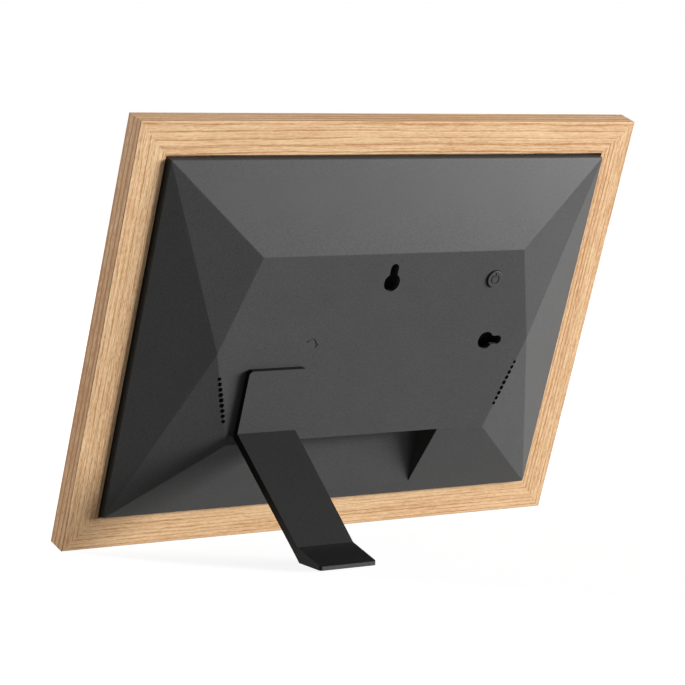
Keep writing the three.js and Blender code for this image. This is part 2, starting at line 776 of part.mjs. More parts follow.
// The ribbon's connector on the board's upper edge, open upwards.
function makeConnector() {
  const halfWidth = ribbonWidth / 2 + connectorWall;
  const top = boardHeight / 2 - connectorInset;
  const body = block(
    [-halfWidth, partsLevel, top - connectorDepth],
    [halfWidth, partsLevel + connectorHeight, top],
  );
  const halfGap = ribbonThickness / 2 + fitGap;
  const mouth = block(
    [-ribbonWidth / 2 - fitGap, connectorLevel - halfGap, top - connectorMouth - fitGap],
    [ribbonWidth / 2 + fitGap, connectorLevel + halfGap, top + 1],
  );
  return piece('display_connector', body.subtract(mouth), 'white');
}

function makeBoard() {
  const group = new THREE.Group();
  group.position.set(boardX, 0, boardZ);
  const places = boardScrewPlaces();
  const holes = places.map(([x, z]) => screwHole(boardScrew, x, z, 0, partsLevel));
  const board = slab(0, 0, boardWidth, boardHeight, boardFront, boardBack);
  group.add(piece('main_board', cut(board, holes), 'board'));
  const spacers = places.map(([x, z]) =>
    bar(x, z, spacerRadius, chassisBack + seatGap, boardFront - seatGap, 6)
      .subtract(screwHole(boardScrew, x, z, partsLevel - boardScrew.length - fitGap, boardBack)));
  addEach(group, 'board_spacer', spacers, 'brass');
  const screws = places.map(([x, z]) => screw(boardScrew, x, z, partsLevel));
  addEach(group, 'board_screw', screws, 'steel');
  for (const [name, x, z, lookName] of chipPlaces()) {
    const [width, height, thickness] = chipSizes[name];
    group.add(piece(name, slab(x, z, width, height, partsLevel, partsLevel + thickness), lookName));
  }
  group.add(makeConnector());
  group.add(makePowerInlet());
  group.add(makeSocket('usb_socket', usbX, usbWidth, usbHeight, usbLength, usbShell, usbTongue));
  group.add(makeSocket('card_slot', cardX, cardWidth, cardHeight, cardLength, cardShell, cardShell));
  return group;
}

// A flat ribbon from the backlight's rear, through the chassis slot and down into its connector.
function makeRibbon() {
  const half = ribbonThickness / 2;
  const end = boardTop - connectorInset - connectorMouth;
  const outline = [
    [ledgeLevel + seatGap, ribbonZ - half],
    [connectorLevel - half, ribbonZ - half - ribbonDip],
    [connectorLevel - half, end],
    [connectorLevel + half, end],
    [connectorLevel + half, ribbonZ + half - ribbonDip],
    [ledgeLevel + seatGap, ribbonZ + half],
  ];
  const ribbon = section(outline, boardX - ribbonWidth / 2, boardX + ribbonWidth / 2);
  return piece('display_ribbon', ribbon, 'ribbon');
}

// ---------------------------------------------------------------- speakers

function makeSpeaker(name, side) {
  const back = speakerEarBack + speakerRim;
  const box = slab(0, 0, speakerWidth, speakerLength, back - speakerDepth, back);
  const ears = slab(0, 0, 2 * bossRadius, speakerLength + 2 * speakerEar,
    speakerEarBack - speakerEarThickness, speakerEarBack);
  const holes = [-1, 1].map((end) =>
    screwHole(smallScrew, 0, end * speakerScrewReach, 0, back));
  const cone = bar(0, 0, coneRadius, back - coneDepth, back + 1, 20);
  const mesh = piece(name, cut(box.add(ears), [...holes, cone]), 'chip');
  mesh.position.set(side * speakerX, 0, speakerZ);
  return mesh;
}

// From the inner side of a speaker to the underside of the main board.
function speakerLead(side) {
  const start = speakerX - speakerWidth / 2 - leadRadius;
  const level = boardFront - leadDrop;
  const landing = boardX + side * (boardWidth / 2 - leadLanding);
  return lead([
    [side * start, level + leadLift, speakerZ],
    [side * (start - leadBend), level, speakerZ + leadRun / 3],
    [landing, boardFront - leadRadius - seatGap, speakerZ + leadRun],
  ], 12);
}

function makeSpeakers() {
  const group = new THREE.Group();
  group.add(makeSpeaker('speaker_right', 1));
  group.add(makeSpeaker('speaker_left', -1));
  const seat = speakerEarBack - speakerEarThickness - seatGap;
  const screws = speakerBosses.map(([x, z]) => backScrew(smallScrew, x, z, seat));
  addEach(group, 'speaker_screw', screws, 'steel');
  group.add(piece('speaker_lead_right', speakerLead(1), 'wire'));
  group.add(piece('speaker_lead_left', speakerLead(-1), 'wire'));
  return group;
}

// ---------------------------------------------------------------- power button

function makeButton() {
  const group = new THREE.Group();
  group.position.set(buttonX, 0, buttonZ);
  const capBack = flatLevel + buttonProud;
  const ring = arcBand(0, 0, symbolRadius, symbolLine, 0.68 * Math.PI, 2.32 * Math.PI);
  const symbol = [
    panel(ring, capBack - engraving, capBack + 1, 14),
    slab(0, symbolRadius, symbolLine, symbolRadius, capBack - engraving, capBack + 1),
  ];
  const cap = join([
    bar(0, 0, buttonRadius, buttonFlangeFront, capBack, 32),
    bar(0, 0, buttonFlangeRadius, buttonFlangeFront, buttonFlangeBack, 32),
    bar(0, 0, buttonStemRadius, buttonFlangeFront - buttonStemLength, buttonFlangeBack, 16),
  ]);
  group.add(piece('power_button', cut(cap, symbol), 'abs'));
  const plunger = bar(0, 0, plungerRadius, plungerBack - plungerLength, plungerBack, 16);
  group.add(piece('switch_plunger', plunger, 'nylon'));
  const housing = slab(0, 0, switchSize, switchSize, switchBack - switchHeight, switchBack);
  const wellFront = plungerBack - plungerLength - buttonTravel - fitGap;
  const well = bar(0, 0, plungerRadius + fitGap, wellFront, plungerBack, 16);
  group.add(piece('tact_switch', housing.subtract(well), 'chip'));
  const places = [-1, 1].map((side) => (side * buttonScrewSpacing) / 2);
  const boardFace = buttonBoardBack - buttonBoardThickness;
  const board = slab(0, 0, buttonBoardWidth, buttonBoardHeight, boardFace, buttonBoardBack);
  const holes = places.map((x) => screwHole(smallScrew, x, 0, 0, flatLevel));
  group.add(piece('button_board', cut(board, holes), 'board'));
  const screws = places.map((x) => backScrew(smallScrew, x, 0, boardFace - seatGap));
  addEach(group, 'button_board_screw', screws, 'steel');
  return group;
}

// The button board's wires, down to the top corner of the main board.
function makeButtonLead() {
  const level = buttonBoardBack - buttonBoardThickness - leadRadius - seatGap;
  const under = boardFront - leadRadius - seatGap;
  const corner = boardX - boardWidth / 2;
  const bend = buttonLeadBend;
  const landing = buttonLeadLanding;
  const route = [
    [buttonX, level, buttonZ - buttonLeadStart],
    [buttonX + bend.out, level - bend.back, buttonZ - bend.down],
    [corner + landing.out, under - landing.sag, boardTop + landing.over],
    [corner + landing.in, under, boardTop - landing.under],
  ];
  return piece('button_lead', lead(route, 12), 'wire');
}

// ---------------------------------------------------------------- swivel stand

// A point on the stand's side, given by its distance back from the oak's resting edge and its height
// above the table, in the leaning group's y and z.
function onTable(back, height) {
  const restY = frameDepth - edgeChamfer;
  const restZ = -frameHeight / 2;
  const y = restY + back * Math.cos(lean) - height * Math.sin(lean);
  const z = restZ + back * Math.sin(lean) + height * Math.cos(lean);
  return [y, z];
}

// Where the line through two points reaches a depth y.
function reachDepth([y0, z0], [y1, z1], y) {
  return [y, z0 + ((z1 - z0) * (y - y0)) / (y1 - y0)];
}

// Where the line through two points comes down to a height above the table.
function reachTable([y0, z0], [y1, z1], height) {
  const [baseY, baseZ] = onTable(0, height);
  const rise = (y, z) => (z - baseZ) * Math.cos(lean) - (y - baseY) * Math.sin(lean);
  const share = rise(y0, z0) / (rise(y0, z0) - rise(y1, z1));
  return [y0 + (y1 - y0) * share, z0 + (z1 - z0) * share];
}

const plateTop = standZ + plateHeight / 2;
const plateBend = [plateBack, standZ - plateHeight / 2 + plateBendRise];
const footBend = onTable(bendReach, bendHeight);

// The under edge of the arm, one arm thickness from its upper edge.
function armUnder() {
  const along = new THREE.Vector2(footBend[0] - plateBend[0], footBend[1] - plateBend[1]).normalize();
  const shift = (point) => [point[0] + along.y * armThickness, point[1] - along.x * armThickness];
  return [shift(plateBend), shift(footBend)];
}

const [underTop, underFoot] = armUnder();
const heel = reachTable(underTop, underFoot, heelHeight);

function standSide() {
  return [
    [plateFront, plateTop],
    reachDepth(underTop, underFoot, plateFront),
    heel,
    onTable(footReach, footLift),
    onTable(footReach, footTop),
    footBend,
    plateBend,
    [plateBack, plateTop],
  ];
}

// The stand's outline from behind: a plate with two round corners, as wide all the way down.
function standOutline() {
  const left = standX - plateSize / 2;
  const right = standX + plateSize / 2;
  const low = -frameHeight;
  const cornerZ = plateTop - plateCorner;
  const quarter = Math.PI / 2;
  const shape = new THREE.Shape();
  shape.moveTo(left, low);
  shape.lineTo(right, low);
  shape.absarc(right - plateCorner, cornerZ, plateCorner, 0, quarter, false);
  shape.absarc(left + plateCorner, cornerZ, plateCorner, quarter, 2 * quarter, false);
  return shape;
}

// The arm's slight taper, seen from above.
function standTaper() {
  const half = plateSize / 2;
  const halfFoot = footWidth / 2;
  const [bendY] = footBend;
  const endY = 2 * bendY;
  const shape = new THREE.Shape([
    new THREE.Vector2(standX - half, plateFront - 1),
    new THREE.Vector2(standX + half, plateFront - 1),
    new THREE.Vector2(standX + half, plateBack),
    new THREE.Vector2(standX + halfFoot, bendY),
    new THREE.Vector2(standX + halfFoot, endY),
    new THREE.Vector2(standX - halfFoot, endY),
    new THREE.Vector2(standX - halfFoot, bendY),
    new THREE.Vector2(standX - half, plateBack),
  ]);
  const geometry = new THREE.ExtrudeGeometry(shape, { depth: 2 * frameHeight, bevelEnabled: false });
  return solid(geometry.translate(0, 0, -frameHeight));
}

// A block under the foot's end that follows the table, grown by play on all four sides.
function footBlock(play, low, high) {
  const far = footReach - padSetback + play;
  const near = far - padLength - 2 * play;
  const halfWidth = padWidth / 2 + play;
  const outline = [onTable(near, low), onTable(far, low), onTable(far, high), onTable(near, high)];
  return section(outline, standX - halfWidth, standX + halfWidth);
}

function makeStand() {
  const group = new THREE.Group();
  const washerBack = flatInside - seatGap;
  const washerFront = washerBack - washerThickness;
  const retainerBack = washerFront - seatGap;
  const retainerFront = retainerBack - retainerThickness;
  const hubFront = retainerBack + seatGap;
  const screwSeat = retainerFront - seatGap;
  const wide = 2 * plateSize;
  const profile = section(standSide(), standX - wide, standX + wide);
  const outline = panel(standOutline(), 0, 2 * footReach, 6);
  const arm = profile.intersect(outline).intersect(standTaper());
  const hub = bar(standX, standZ, hubRadius, hubFront, plateFront + plateThickness / 2, 32);
  const screwEnd = screwSeat + hubScrew.length + fitGap;
  const screwSpace = screwHole(hubScrew, standX, standZ, 0, screwEnd);
  const padSpace = footBlock(fitGap, -1, padThickness + seatGap);
  group.add(piece('stand', cut(arm.add(hub), [screwSpace, padSpace]), 'abs'));
  group.add(piece('stand_foot_pad', footBlock(0, 0, padThickness), 'rubber'));
  const washer = bar(standX, standZ, washerRadius, washerFront, washerBack, 32)
    .subtract(bar(standX, standZ, hubRadius + fitGap, 0, flatLevel, 32));
  group.add(piece('swivel_washer', washer, 'nylon'));
  const retainer = bar(standX, standZ, retainerRadius, retainerFront, retainerBack, 32)
    .subtract(screwHole(hubScrew, standX, standZ, 0, flatLevel));
  group.add(piece('swivel_retainer', retainer, 'steel'));
  group.add(piece('swivel_screw', backScrew(hubScrew, standX, standZ, screwSeat, 16), 'steel'));
  return group;
}

// ---------------------------------------------------------------- assembly

function makeFrame() {
  const leaning = new THREE.Group();
  leaning.rotation.x = -lean;
  leaning.add(makeSurround());
  leaning.add(makeDisplay());
  leaning.add(makeChassis());
  leaning.add(makeCover());
  leaning.add(makeBoard());
  leaning.add(makeRibbon());
  leaning.add(makeSpeakers());
  leaning.add(makeButton());
  leaning.add(makeButtonLead());
  leaning.add(makeStand());
  return leaning;
}

// The origin is the middle of the overall box's underside.
const photoFrame = new THREE.Group();
const leaningFrame = makeFrame();
photoFrame.add(leaningFrame);
photoFrame.updateMatrixWorld(true);
const reach = new THREE.Box3().setFromObject(photoFrame, true);
const middle = reach.getCenter(new THREE.Vector3());
leaningFrame.position.set(-middle.x, -middle.y, -reach.min.z);

export default photoFrame;
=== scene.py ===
"""Dresses the packed digital photo frame and sets a plain studio round it.

The packed model is the fixed frame. The oak rails, the rear cover, the button and the stand are modelled
anew around it with fine edges, every other piece gets its own finish, and floor, lamps and camera follow.

Modelling is in millimetres in the leaning frame's own axes: x across, y from the screen's face to the rear
and z up the frame. finished() turns a piece into the packed model's metres.
"""

import json
import math
from collections import namedtuple

import bmesh
import bpy
from mathutils import Matrix, Vector


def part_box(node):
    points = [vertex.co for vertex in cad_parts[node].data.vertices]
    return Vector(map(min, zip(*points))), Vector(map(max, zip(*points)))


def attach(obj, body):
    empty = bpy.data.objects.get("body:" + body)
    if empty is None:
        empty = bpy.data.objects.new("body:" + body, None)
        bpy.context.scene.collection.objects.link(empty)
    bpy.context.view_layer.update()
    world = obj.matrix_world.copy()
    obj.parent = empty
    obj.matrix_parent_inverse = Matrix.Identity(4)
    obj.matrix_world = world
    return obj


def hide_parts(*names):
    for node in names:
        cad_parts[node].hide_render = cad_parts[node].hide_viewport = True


bl_info = {
    "name": "Photo frame dressing",
    "version": (1, 0, 0),
    "blender": (4, 5, 0),
    "location": "View3D > Sidebar > Photo frame",
    "description": "Oak, plastic and studio for the packed digital photo frame",
    "category": "Object",
}

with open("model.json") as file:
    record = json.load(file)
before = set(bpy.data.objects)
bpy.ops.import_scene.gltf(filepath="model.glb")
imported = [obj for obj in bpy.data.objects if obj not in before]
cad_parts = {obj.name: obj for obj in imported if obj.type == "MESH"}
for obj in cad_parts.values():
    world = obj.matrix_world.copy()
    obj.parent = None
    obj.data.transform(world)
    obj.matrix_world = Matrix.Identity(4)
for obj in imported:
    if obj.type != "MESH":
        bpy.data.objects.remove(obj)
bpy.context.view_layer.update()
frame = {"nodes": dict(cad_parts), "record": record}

MM = 0.001
GLASS_DEPTH = 3.7  # from the screen's face to the middle of the touch glass
SEAT_GAP = 0.25  # between two pieces that rest on each other
FIT_GAP = 0.3  # around a pin, boss or screw in its hole
PAST = 1.0  # how far a cut or a join reaches past the wall it goes through
NEAR = 0.01  # places closer than this are taken as one when edges are picked
LONG = 1.0  # edges that run further than this count as long
WELD = 1e-4  # points closer than this are merged
ON_PLANE = 1e-5  # points closer than this to a cutting plane lie on it
SAME_WAY = 0.98  # least cosine between two directions that count as one
SMOOTH_BELOW = 35  # degrees up to which the shading runs on over an edge


def own_axes():
    """The matrix from the leaning frame's own axes, in mm, to the packed model's metres."""
    joints = frame["record"]["behaviour"]["joints"]
    swivel = next(joint for joint in joints if joint["name"] == "stand_swivel")
    depth = -Vector(swivel["axis"]).normalized()
    across = Vector((1, 0, 0))
    turn = Matrix((across, depth, across.cross(depth))).transposed().to_4x4()
    low, high = (Vector(corner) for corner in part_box("touch_glass"))
    place = (low + high) / 2 - depth * GLASS_DEPTH * MM
    return Matrix.Translation(place) @ turn @ Matrix.Scale(MM, 4)


TO_MODEL = own_axes()
TO_OWN = TO_MODEL.inverted()


def own_box(node):
    """Lowest and highest corner of a CAD node in the leaning frame's own axes, in mm."""
    points = [TO_OWN @ vertex.co for vertex in frame["nodes"][node].data.vertices]
    low = Vector(min(point[i] for point in points) for i in range(3))
    high = Vector(max(point[i] for point in points) for i in range(3))
    return low, high


def own_middle(node):
    """Middle of a CAD node's box in the leaning frame's own axes, in mm."""
    low, high = own_box(node)
    return (low + high) / 2


def numbered(name, count):
    """The names of like CAD nodes that are numbered from 1."""
    return [f"{name}_{number}" for number in range(1, count + 1)]


LEAN = math.atan2(-TO_MODEL.col[1].z, TO_MODEL.col[1].y)
HALF_WIDTH = own_box("rail_right")[1].x
HALF_HEIGHT = own_box("rail_top")[1].z
DEPTH = own_box("rail_top")[1].y
WINDOW_X = own_box("rail_right")[0].x
WINDOW_Z = own_box("rail_top")[0].z
COVER_FRONT = own_box("rear_cover")[0].y
COVER_X, FLAT, COVER_Z = own_box("rear_cover")[1]

# ------------------------------------------------------------------ sizes and colours a user may change


def length(name, text, default):
    """A length in metres that shows with its unit."""
    return bpy.props.FloatProperty(
        name=name, description=text, default=default, min=0, subtype="DISTANCE", unit="LENGTH"
    )


def linear(code):
    """An sRGB hex colour as linear RGB and alpha."""
    parts = [int(code[i:i + 2], 16) / 255 for i in (1, 3, 5)]
    return tuple(p / 12.92 if p <= 0.04045 else ((p + 0.055) / 1.055) ** 2.4 for p in parts) + (1.0,)


def colour(name, text, code):
    """A colour that a user may change, given as sRGB hex."""
    return bpy.props.FloatVectorProperty(
        name=name, description=text, default=linear(code), size=4, min=0, max=1, subtype="COLOR"
    )


class SurroundSizes(bpy.types.PropertyGroup):
    """The oak surround."""

    rail_width: length("Rail width", "Width of a rail on the rear face", 0.015)
    rear_round: length(
        "Rear edge", "Rounding of the rails' outer rear edge, apart from the one on the table", 0.0003
    )
    outer_round: length("Outer edges", "Rounding of the rails' outer long edges", 0.00074)
    inner_round: length("Inner edges", "Rounding of the rails' inner long edges", 0.00025)
    seam: length("Mitre seam", "Width of the hairline in each mitre", 0.00002)
    light_oak: colour("Light oak", "Wood between the growth lines", "#ECCBA0")
    dark_oak: colour("Dark oak", "Wood in the growth lines", "#B37D4E")


class CoverSizes(bpy.types.PropertyGroup):
    """The moulded rear cover and the button."""

    edge_round: length("Crease edges", "Rounding where two facets meet", 0.0003)
    plastic: colour("Cover plastic", "Colour moulded into the cover", "#484848")


class StandSizes(bpy.types.PropertyGroup):
    """The swivel stand."""

    edge_round: length("Stand edges", "Rounding of the stand's edges", 0.0004)
    plastic: colour("Stand plastic", "Colour moulded into the stand", "#484848")


class StudioSizes(bpy.types.PropertyGroup):
    """Lamps, floor and camera."""

    distance: length("Camera distance", "From the lens to the point it looks at", 1.25)
    focal: bpy.props.FloatProperty(
        name="Focal length", description="On a 36 mm wide sensor", default=148.1, min=10,
        subtype="DISTANCE_CAMERA", unit="CAMERA",
    )
    floor_size: length("Floor size", "Side of the square floor", 8.0)
    floor: colour("Floor", "Paper that the frame stands on", "#989898")


def sizes(group):
    """The property group of that name on the scene."""
    return getattr(bpy.context.scene, group)


# ------------------------------------------------------------------ modelling helpers


def block(low, high):
    """A box between two corners."""
    low, high = Vector(low), Vector(high)
    bm = bmesh.new()
    bmesh.ops.create_cube(bm, size=1, matrix=Matrix.LocRotScale((low + high) / 2, None, high - low))
    return bm


def rod(radius, span, place, segments):
    """A round bar along its own z, put by a matrix where its middle belongs."""
    bm = bmesh.new()
    bmesh.ops.create_cone(
        bm, cap_ends=True, segments=segments, radius1=radius, radius2=radius, depth=span, matrix=place,
    )
    return bm


def bar(x, z, radius, front, back, segments=32):
    """A round bar along y."""
    place = Matrix.Translation((x, (front + back) / 2, z)) @ Matrix.Rotation(-math.pi / 2, 4, "X")
    return rod(radius, back - front, place, segments)


def drawn(points, reach):
    """A flat outline of 3D points, drawn out along a vector into a solid."""
    bm = bmesh.new()
    face = bm.faces.new([bm.verts.new(point) for point in points])
    out = bmesh.ops.extrude_face_region(bm, geom=[face])
    verts = [item for item in out["geom"] if isinstance(item, bmesh.types.BMVert)]
    bmesh.ops.translate(bm, verts=verts, vec=reach)
    bmesh.ops.recalc_face_normals(bm, faces=bm.faces)
    return bm


def arc(x, z, radius, line, start, stop, front, back, steps=28):
    """A band that follows an arc in x and z, between two depths."""
    bm = bmesh.new()
    heading = Vector((math.cos(start), 0, math.sin(start)))
    corners = [(radius - line / 2, front), (radius + line / 2, front),
               (radius + line / 2, back), (radius - line / 2, back)]
    face = bm.faces.new([bm.verts.new(Vector((x, y, z)) + heading * r) for r, y in corners])
    bmesh.ops.spin(
        bm, geom=[*face.verts, *face.edges, face], cent=(x, 0, z), axis=(0, -1, 0),
        angle=stop - start, steps=steps, use_merge=False,
    )
    bmesh.ops.recalc_face_normals(bm, faces=bm.faces)
    return bm


def rounded(bm, edges, width, segments):
    """Rounds the given edges."""
    bmesh.ops.bevel(
        bm, geom=edges, offset=width, offset_type="OFFSET", affect="EDGES", segments=segments,
        profile=0.5, material=-1, clamp_overlap=True,
    )


def run(edge, axis):
    """How far an edge runs along x, y or z."""
    first, second = (getattr(vert.co, axis) for vert in edge.verts)
    return abs(first - second)


def sharp_edges(bm, degrees):
    """Edges where the surface turns by more than an angle."""
    return [e for e in bm.edges if len(e.link_faces) == 2 and e.calc_face_angle(0) > math.radians(degrees)]


def sliced(bm, place, normal, remove=False):
    """Cuts along a plane. With remove it takes off what lies past it, and gives the faces that close it."""
    cut = bmesh.ops.bisect_plane(
        bm, geom=[*bm.verts, *bm.edges, *bm.faces], dist=ON_PLANE, plane_co=place, plane_no=normal,
        clear_outer=remove,
    )
    edges = [item for item in cut["geom_cut"] if isinstance(item, bmesh.types.BMEdge)]
    return bmesh.ops.edgeloop_fill(bm, edges=edges)["faces"] if remove and edges else []


def as_object(bm, name, collection=None):
    """The bmesh as an object, in the scene's own collection unless it is given another."""
    mesh = bpy.data.meshes.new(name)
    bm.to_mesh(mesh)
    bm.free()
    made = bpy.data.objects.new(name, mesh)
    (collection or bpy.context.scene.collection).objects.link(made)
    return made


def combined(base, others, operation):
    """base joined with the others, or cut or kept by them, as a new bmesh."""
    tools = bpy.data.collections.new("tools")
    bpy.context.scene.collection.children.link(tools)
    main = as_object(base, "base")
    parts = [as_object(other, "tool", tools) for other in others]
    step = main.modifiers.new("combine", "BOOLEAN")
    step.operation = operation
    step.solver = "EXACT"
    step.operand_type = "COLLECTION"
    step.collection = tools
    result = bmesh.new()
    result.from_object(main, bpy.context.evaluated_depsgraph_get())
    for made in [main, *parts]:
        mesh = made.data
        bpy.data.objects.remove(made)
        bpy.data.meshes.remove(mesh)
    bpy.data.collections.remove(tools)
    bmesh.ops.remove_doubles(result, verts=result.verts, dist=WELD)
    bmesh.ops.dissolve_degenerate(result, edges=result.edges, dist=WELD)
    return result


def finished(bm, name, body, finish, nodes):
    """Puts a modelled piece into the packed model's frame, on its body and in place of its CAD nodes."""
    bm.transform(TO_MODEL)
    piece = as_object(bm, name)
    mesh = piece.data
    mesh.polygons.foreach_set("use_smooth", [True] * len(mesh.polygons))
    mesh.set_sharp_from_angle(angle=math.radians(SMOOTH_BELOW))
    mesh.materials.append(finish)
    level = piece.modifiers.new("facet_shading", "WEIGHTED_NORMAL")
    level.keep_sharp = True
    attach(piece, body)
    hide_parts(*nodes)


# ------------------------------------------------------------------ finishes

RIPPLE = 0.22  # share of the growth lines' wander that is short ripples
CLOUD = 18  # size in mm of the plastic's soft clouds
CLOUD_SHARE = 0.12  # of the clouds in its speckle, beside the grit
GRIT_CONTRAST = 0.22  # share by which the speckle darkens and lightens it


def add(tree, kind, inputs=(), stops=(), **settings):
    """Adds a node with its settings and links, and gives the node.

    inputs are in the order of the sockets, or by their names or places in a dict. Each is a value, a
    socket, or a node whose first output feeds it. stops are a colour ramp's places and colours.
    """
    node = tree.nodes.new(f"ShaderNode{kind}")
    for name, value in settings.items():
        setattr(node, name, value)
    pairs = inputs.items() if isinstance(inputs, dict) else enumerate(inputs)
    for key, value in pairs:
        source = value.outputs[0] if isinstance(value, bpy.types.Node) else value
        if isinstance(source, bpy.types.NodeSocket):
            tree.links.new(source, node.inputs[key])
        else:
            node.inputs[key].default_value = source
    for number, (place, value) in enumerate(stops):
        elements = node.color_ramp.elements
        element = elements[number] if number < len(elements) else elements.new(place)
        element.position, element.color = place, value
    return node


def empty_tree(owner):
    """The node tree of a material or world, with nothing in it."""
    owner.use_nodes = True
    owner.node_tree.nodes.clear()
    return owner.node_tree


def blank(name):
    """A new material and its empty node tree."""
    material = bpy.data.materials.new(name)
    return material, empty_tree(material)


def surface(tree, inputs):
    """Ends a material's tree in a principled shader."""
    add(tree, "OutputMaterial", {"Surface": add(tree, "BsdfPrincipled", inputs)})


def stretched(tree, vector, cell, detail=2.0, roughness=0.5):
    """Noise whose cells have the given size along each axis of the vector."""
    scaled = add(tree, "VectorMath", (vector, tuple(1 / size for size in cell)), operation="MULTIPLY")
    return add(tree, "TexNoise", {"Vector": scaled, "Scale": 1.0, "Detail": detail, "Roughness": roughness})


def speckled(tree, pattern, base, contrast):
    """A colour that a pattern makes darker and lighter by up to the same share."""
    low, high = (tuple([min(1, share * part) for part in base[:3]] + [1.0])
                 for share in (1 - contrast, 1 + contrast))
    return add(tree, "ValToRGB", {"Fac": pattern}, [(0.3, low), (0.7, high)])


def grey(value):
    """A grey as linear RGB and alpha."""
    return (value, value, value, 1.0)


def oak(name, rail, skin):
    """European oak, planed and oiled.

    Growth rings show as thin brown lines along the rail, finer ones between them, and open pores and
    pale fibres run with them. The pattern reads each rail's grain attribute: along, across and into
    the wood, in mm, as all cells here are. Past skin, across the wood, lies the rail's outer side: its
    growth lines are drawn stronger there, and its colour is darkened by the rail's late, a
    painted shade for a side that gets less light.
    """
    material, tree = blank(name)
    grain = add(tree, "Attribute", attribute_name="grain").outputs["Vector"]
    facing = (0, math.cos(rail.ring_turn), math.sin(rail.ring_turn))
    shifted = add(tree, "VectorMath", (grain, facing), operation="DOT_PRODUCT").outputs["Value"]
    bend = stretched(tree, grain, (70, 12, 12))
    ripple = stretched(tree, grain, (16, 5, 5), detail=1)
    for wave, reach in ((bend, rail.wander), (ripple, RIPPLE * rail.wander)):
        shifted = add(tree, "Math", (wave, reach, shifted), operation="MULTIPLY_ADD")
    broken = stretched(tree, grain, (30, 1.5, 1.5))

    def lines(gap, width, strength):
        """Thin lines a gap apart, each with its own strength and broken up along the rail."""
        ring = add(tree, "Math", (shifted, gap), operation="DIVIDE")
        line = add(tree, "ValToRGB", (add(tree, "Math", (ring,), operation="FRACT"),), [
            (0.0, grey(1.0)), (0.45 * width, grey(0.55)), (width, grey(0.0)), (0.9, grey(0.0)),
            (1.0, grey(1.0)),
        ])
        number = add(tree, "Math", (ring,), operation="FLOOR")
        chance = add(tree, "TexWhiteNoise", {"W": number}, noise_dimensions="1D")
        own = add(tree, "Math", (chance, 0.9, 0.3), operation="MULTIPLY_ADD")
        stretch = add(tree, "Math", (broken, 2 * strength), operation="MULTIPLY")
        own = add(tree, "Math", (own, stretch), operation="MULTIPLY")
        return add(tree, "Math", (line, own), operation="MULTIPLY")

    strong = lines(rail.ring_gap, 0.32, rail.ring_strength)
    faint = lines(0.37 * rail.ring_gap, 0.5, 0.4 * rail.ring_strength)
    fibre = stretched(tree, grain, (30, 0.5, 0.5), detail=3, roughness=0.65)
    hair = stretched(tree, grain, (9, 0.3, 0.3), roughness=0.6)
    fleck = stretched(tree, grain, (2.2, 0.45, 0.45), detail=1)
    broad = stretched(tree, grain, (80, 5, 5), detail=1)
    tone = add(tree, "Math", (fibre, 0.9, -0.28), operation="MULTIPLY_ADD")
    # each pattern darkens where it lies above its middle and lightens where it lies below
    for pattern, weight, middle in (
        (hair, 1.4 * rail.detail, 0.5), (fleck, 0.9 * rail.detail, 0.5), (broad, 0.5, 0.2)
    ):
        tone = add(tree, "Math", (tone, middle * weight), operation="SUBTRACT")
        tone = add(tree, "Math", (pattern, weight, tone), operation="MULTIPLY_ADD")
    rings = add(tree, "Math", (strong, faint), operation="ADD")
    tone = add(tree, "Math", (tone, rings), operation="ADD")
    pore = add(tree, "ValToRGB", (stretched(tree, grain, (4.5, 0.3, 0.3), detail=1),), [
        (0.58, grey(0.0)), (0.72, grey(1.0)),
    ])
    tone = add(tree, "Math", (pore, 0.18, tone), operation="MULTIPLY_ADD")
    across = add(tree, "SeparateXYZ", (grain,)).outputs["Y"]
    outside = add(tree, "Math", (across, skin), operation="GREATER_THAN")
    # the outer side: stronger growth lines, and painted shade by the rail's late
    browner = add(tree, "Math", (strong, 2.0, rail.late), operation="MULTIPLY_ADD")
    tone = add(tree, "Math", (outside, browner, tone), operation="MULTIPLY_ADD")
    group = sizes("surround_sizes")
    light, dark = tuple(group.light_oak), tuple(group.dark_oak)
    half = tuple(0.6 * a + 0.4 * b for a, b in zip(light, dark))
    height = add(tree, "Math", (1.0, tone), operation="SUBTRACT")
    surface(tree, {
        "Base Color": add(tree, "ValToRGB", (tone,), [(0.0, light), (0.45, half), (1.0, dark)]),
        "Normal": add(tree, "Bump", {"Strength": 0.2, "Distance": 0.06 * MM, "Height": height}),
        "Roughness": 0.55, "IOR": 1.5, "Specular IOR Level": 0.25,
    })
    return material


def moulded(name, base, roughness, grit, specular, relief=0.12, painted_shade_zones=False):
    """ABS, moulded in a spark-eroded tool.

    The tool leaves a fine even grit, of the given size in mm, that spreads the light into a soft sheen
    with no mirror in it. With painted_shade_zones, the colour is multiplied by the grit attribute: painted
    shade, darker on faces where less light falls.
    """
    material, tree = blank(name)
    place = add(tree, "TexCoord").outputs["Object"]
    fine = stretched(tree, place, (grit * MM,) * 3)
    cloudy = stretched(tree, place, (CLOUD * MM,) * 3, detail=1)
    both = add(tree, "Math", (fine, 1 - CLOUD_SHARE), operation="MULTIPLY")
    both = add(tree, "Math", (cloudy, CLOUD_SHARE, both), operation="MULTIPLY_ADD")
    shade = speckled(tree, both, base, GRIT_CONTRAST)
    if painted_shade_zones:
        # the grit attribute multiplies the colour: painted shade, darker where less light falls
        share = add(tree, "Attribute", attribute_name="grit").outputs["Fac"]
        shade = add(
            tree, "Mix", {"Factor": 1.0, "A": shade, "B": share}, data_type="RGBA", blend_type="MULTIPLY",
        ).outputs["Result"]
    surface(tree, {
        "Base Color": shade,
        "Normal": add(tree, "Bump", {"Strength": relief, "Distance": 0.04 * MM, "Height": fine}),
        "Roughness": roughness, "IOR": 1.53, "Specular IOR Level": specular,
    })
    return material


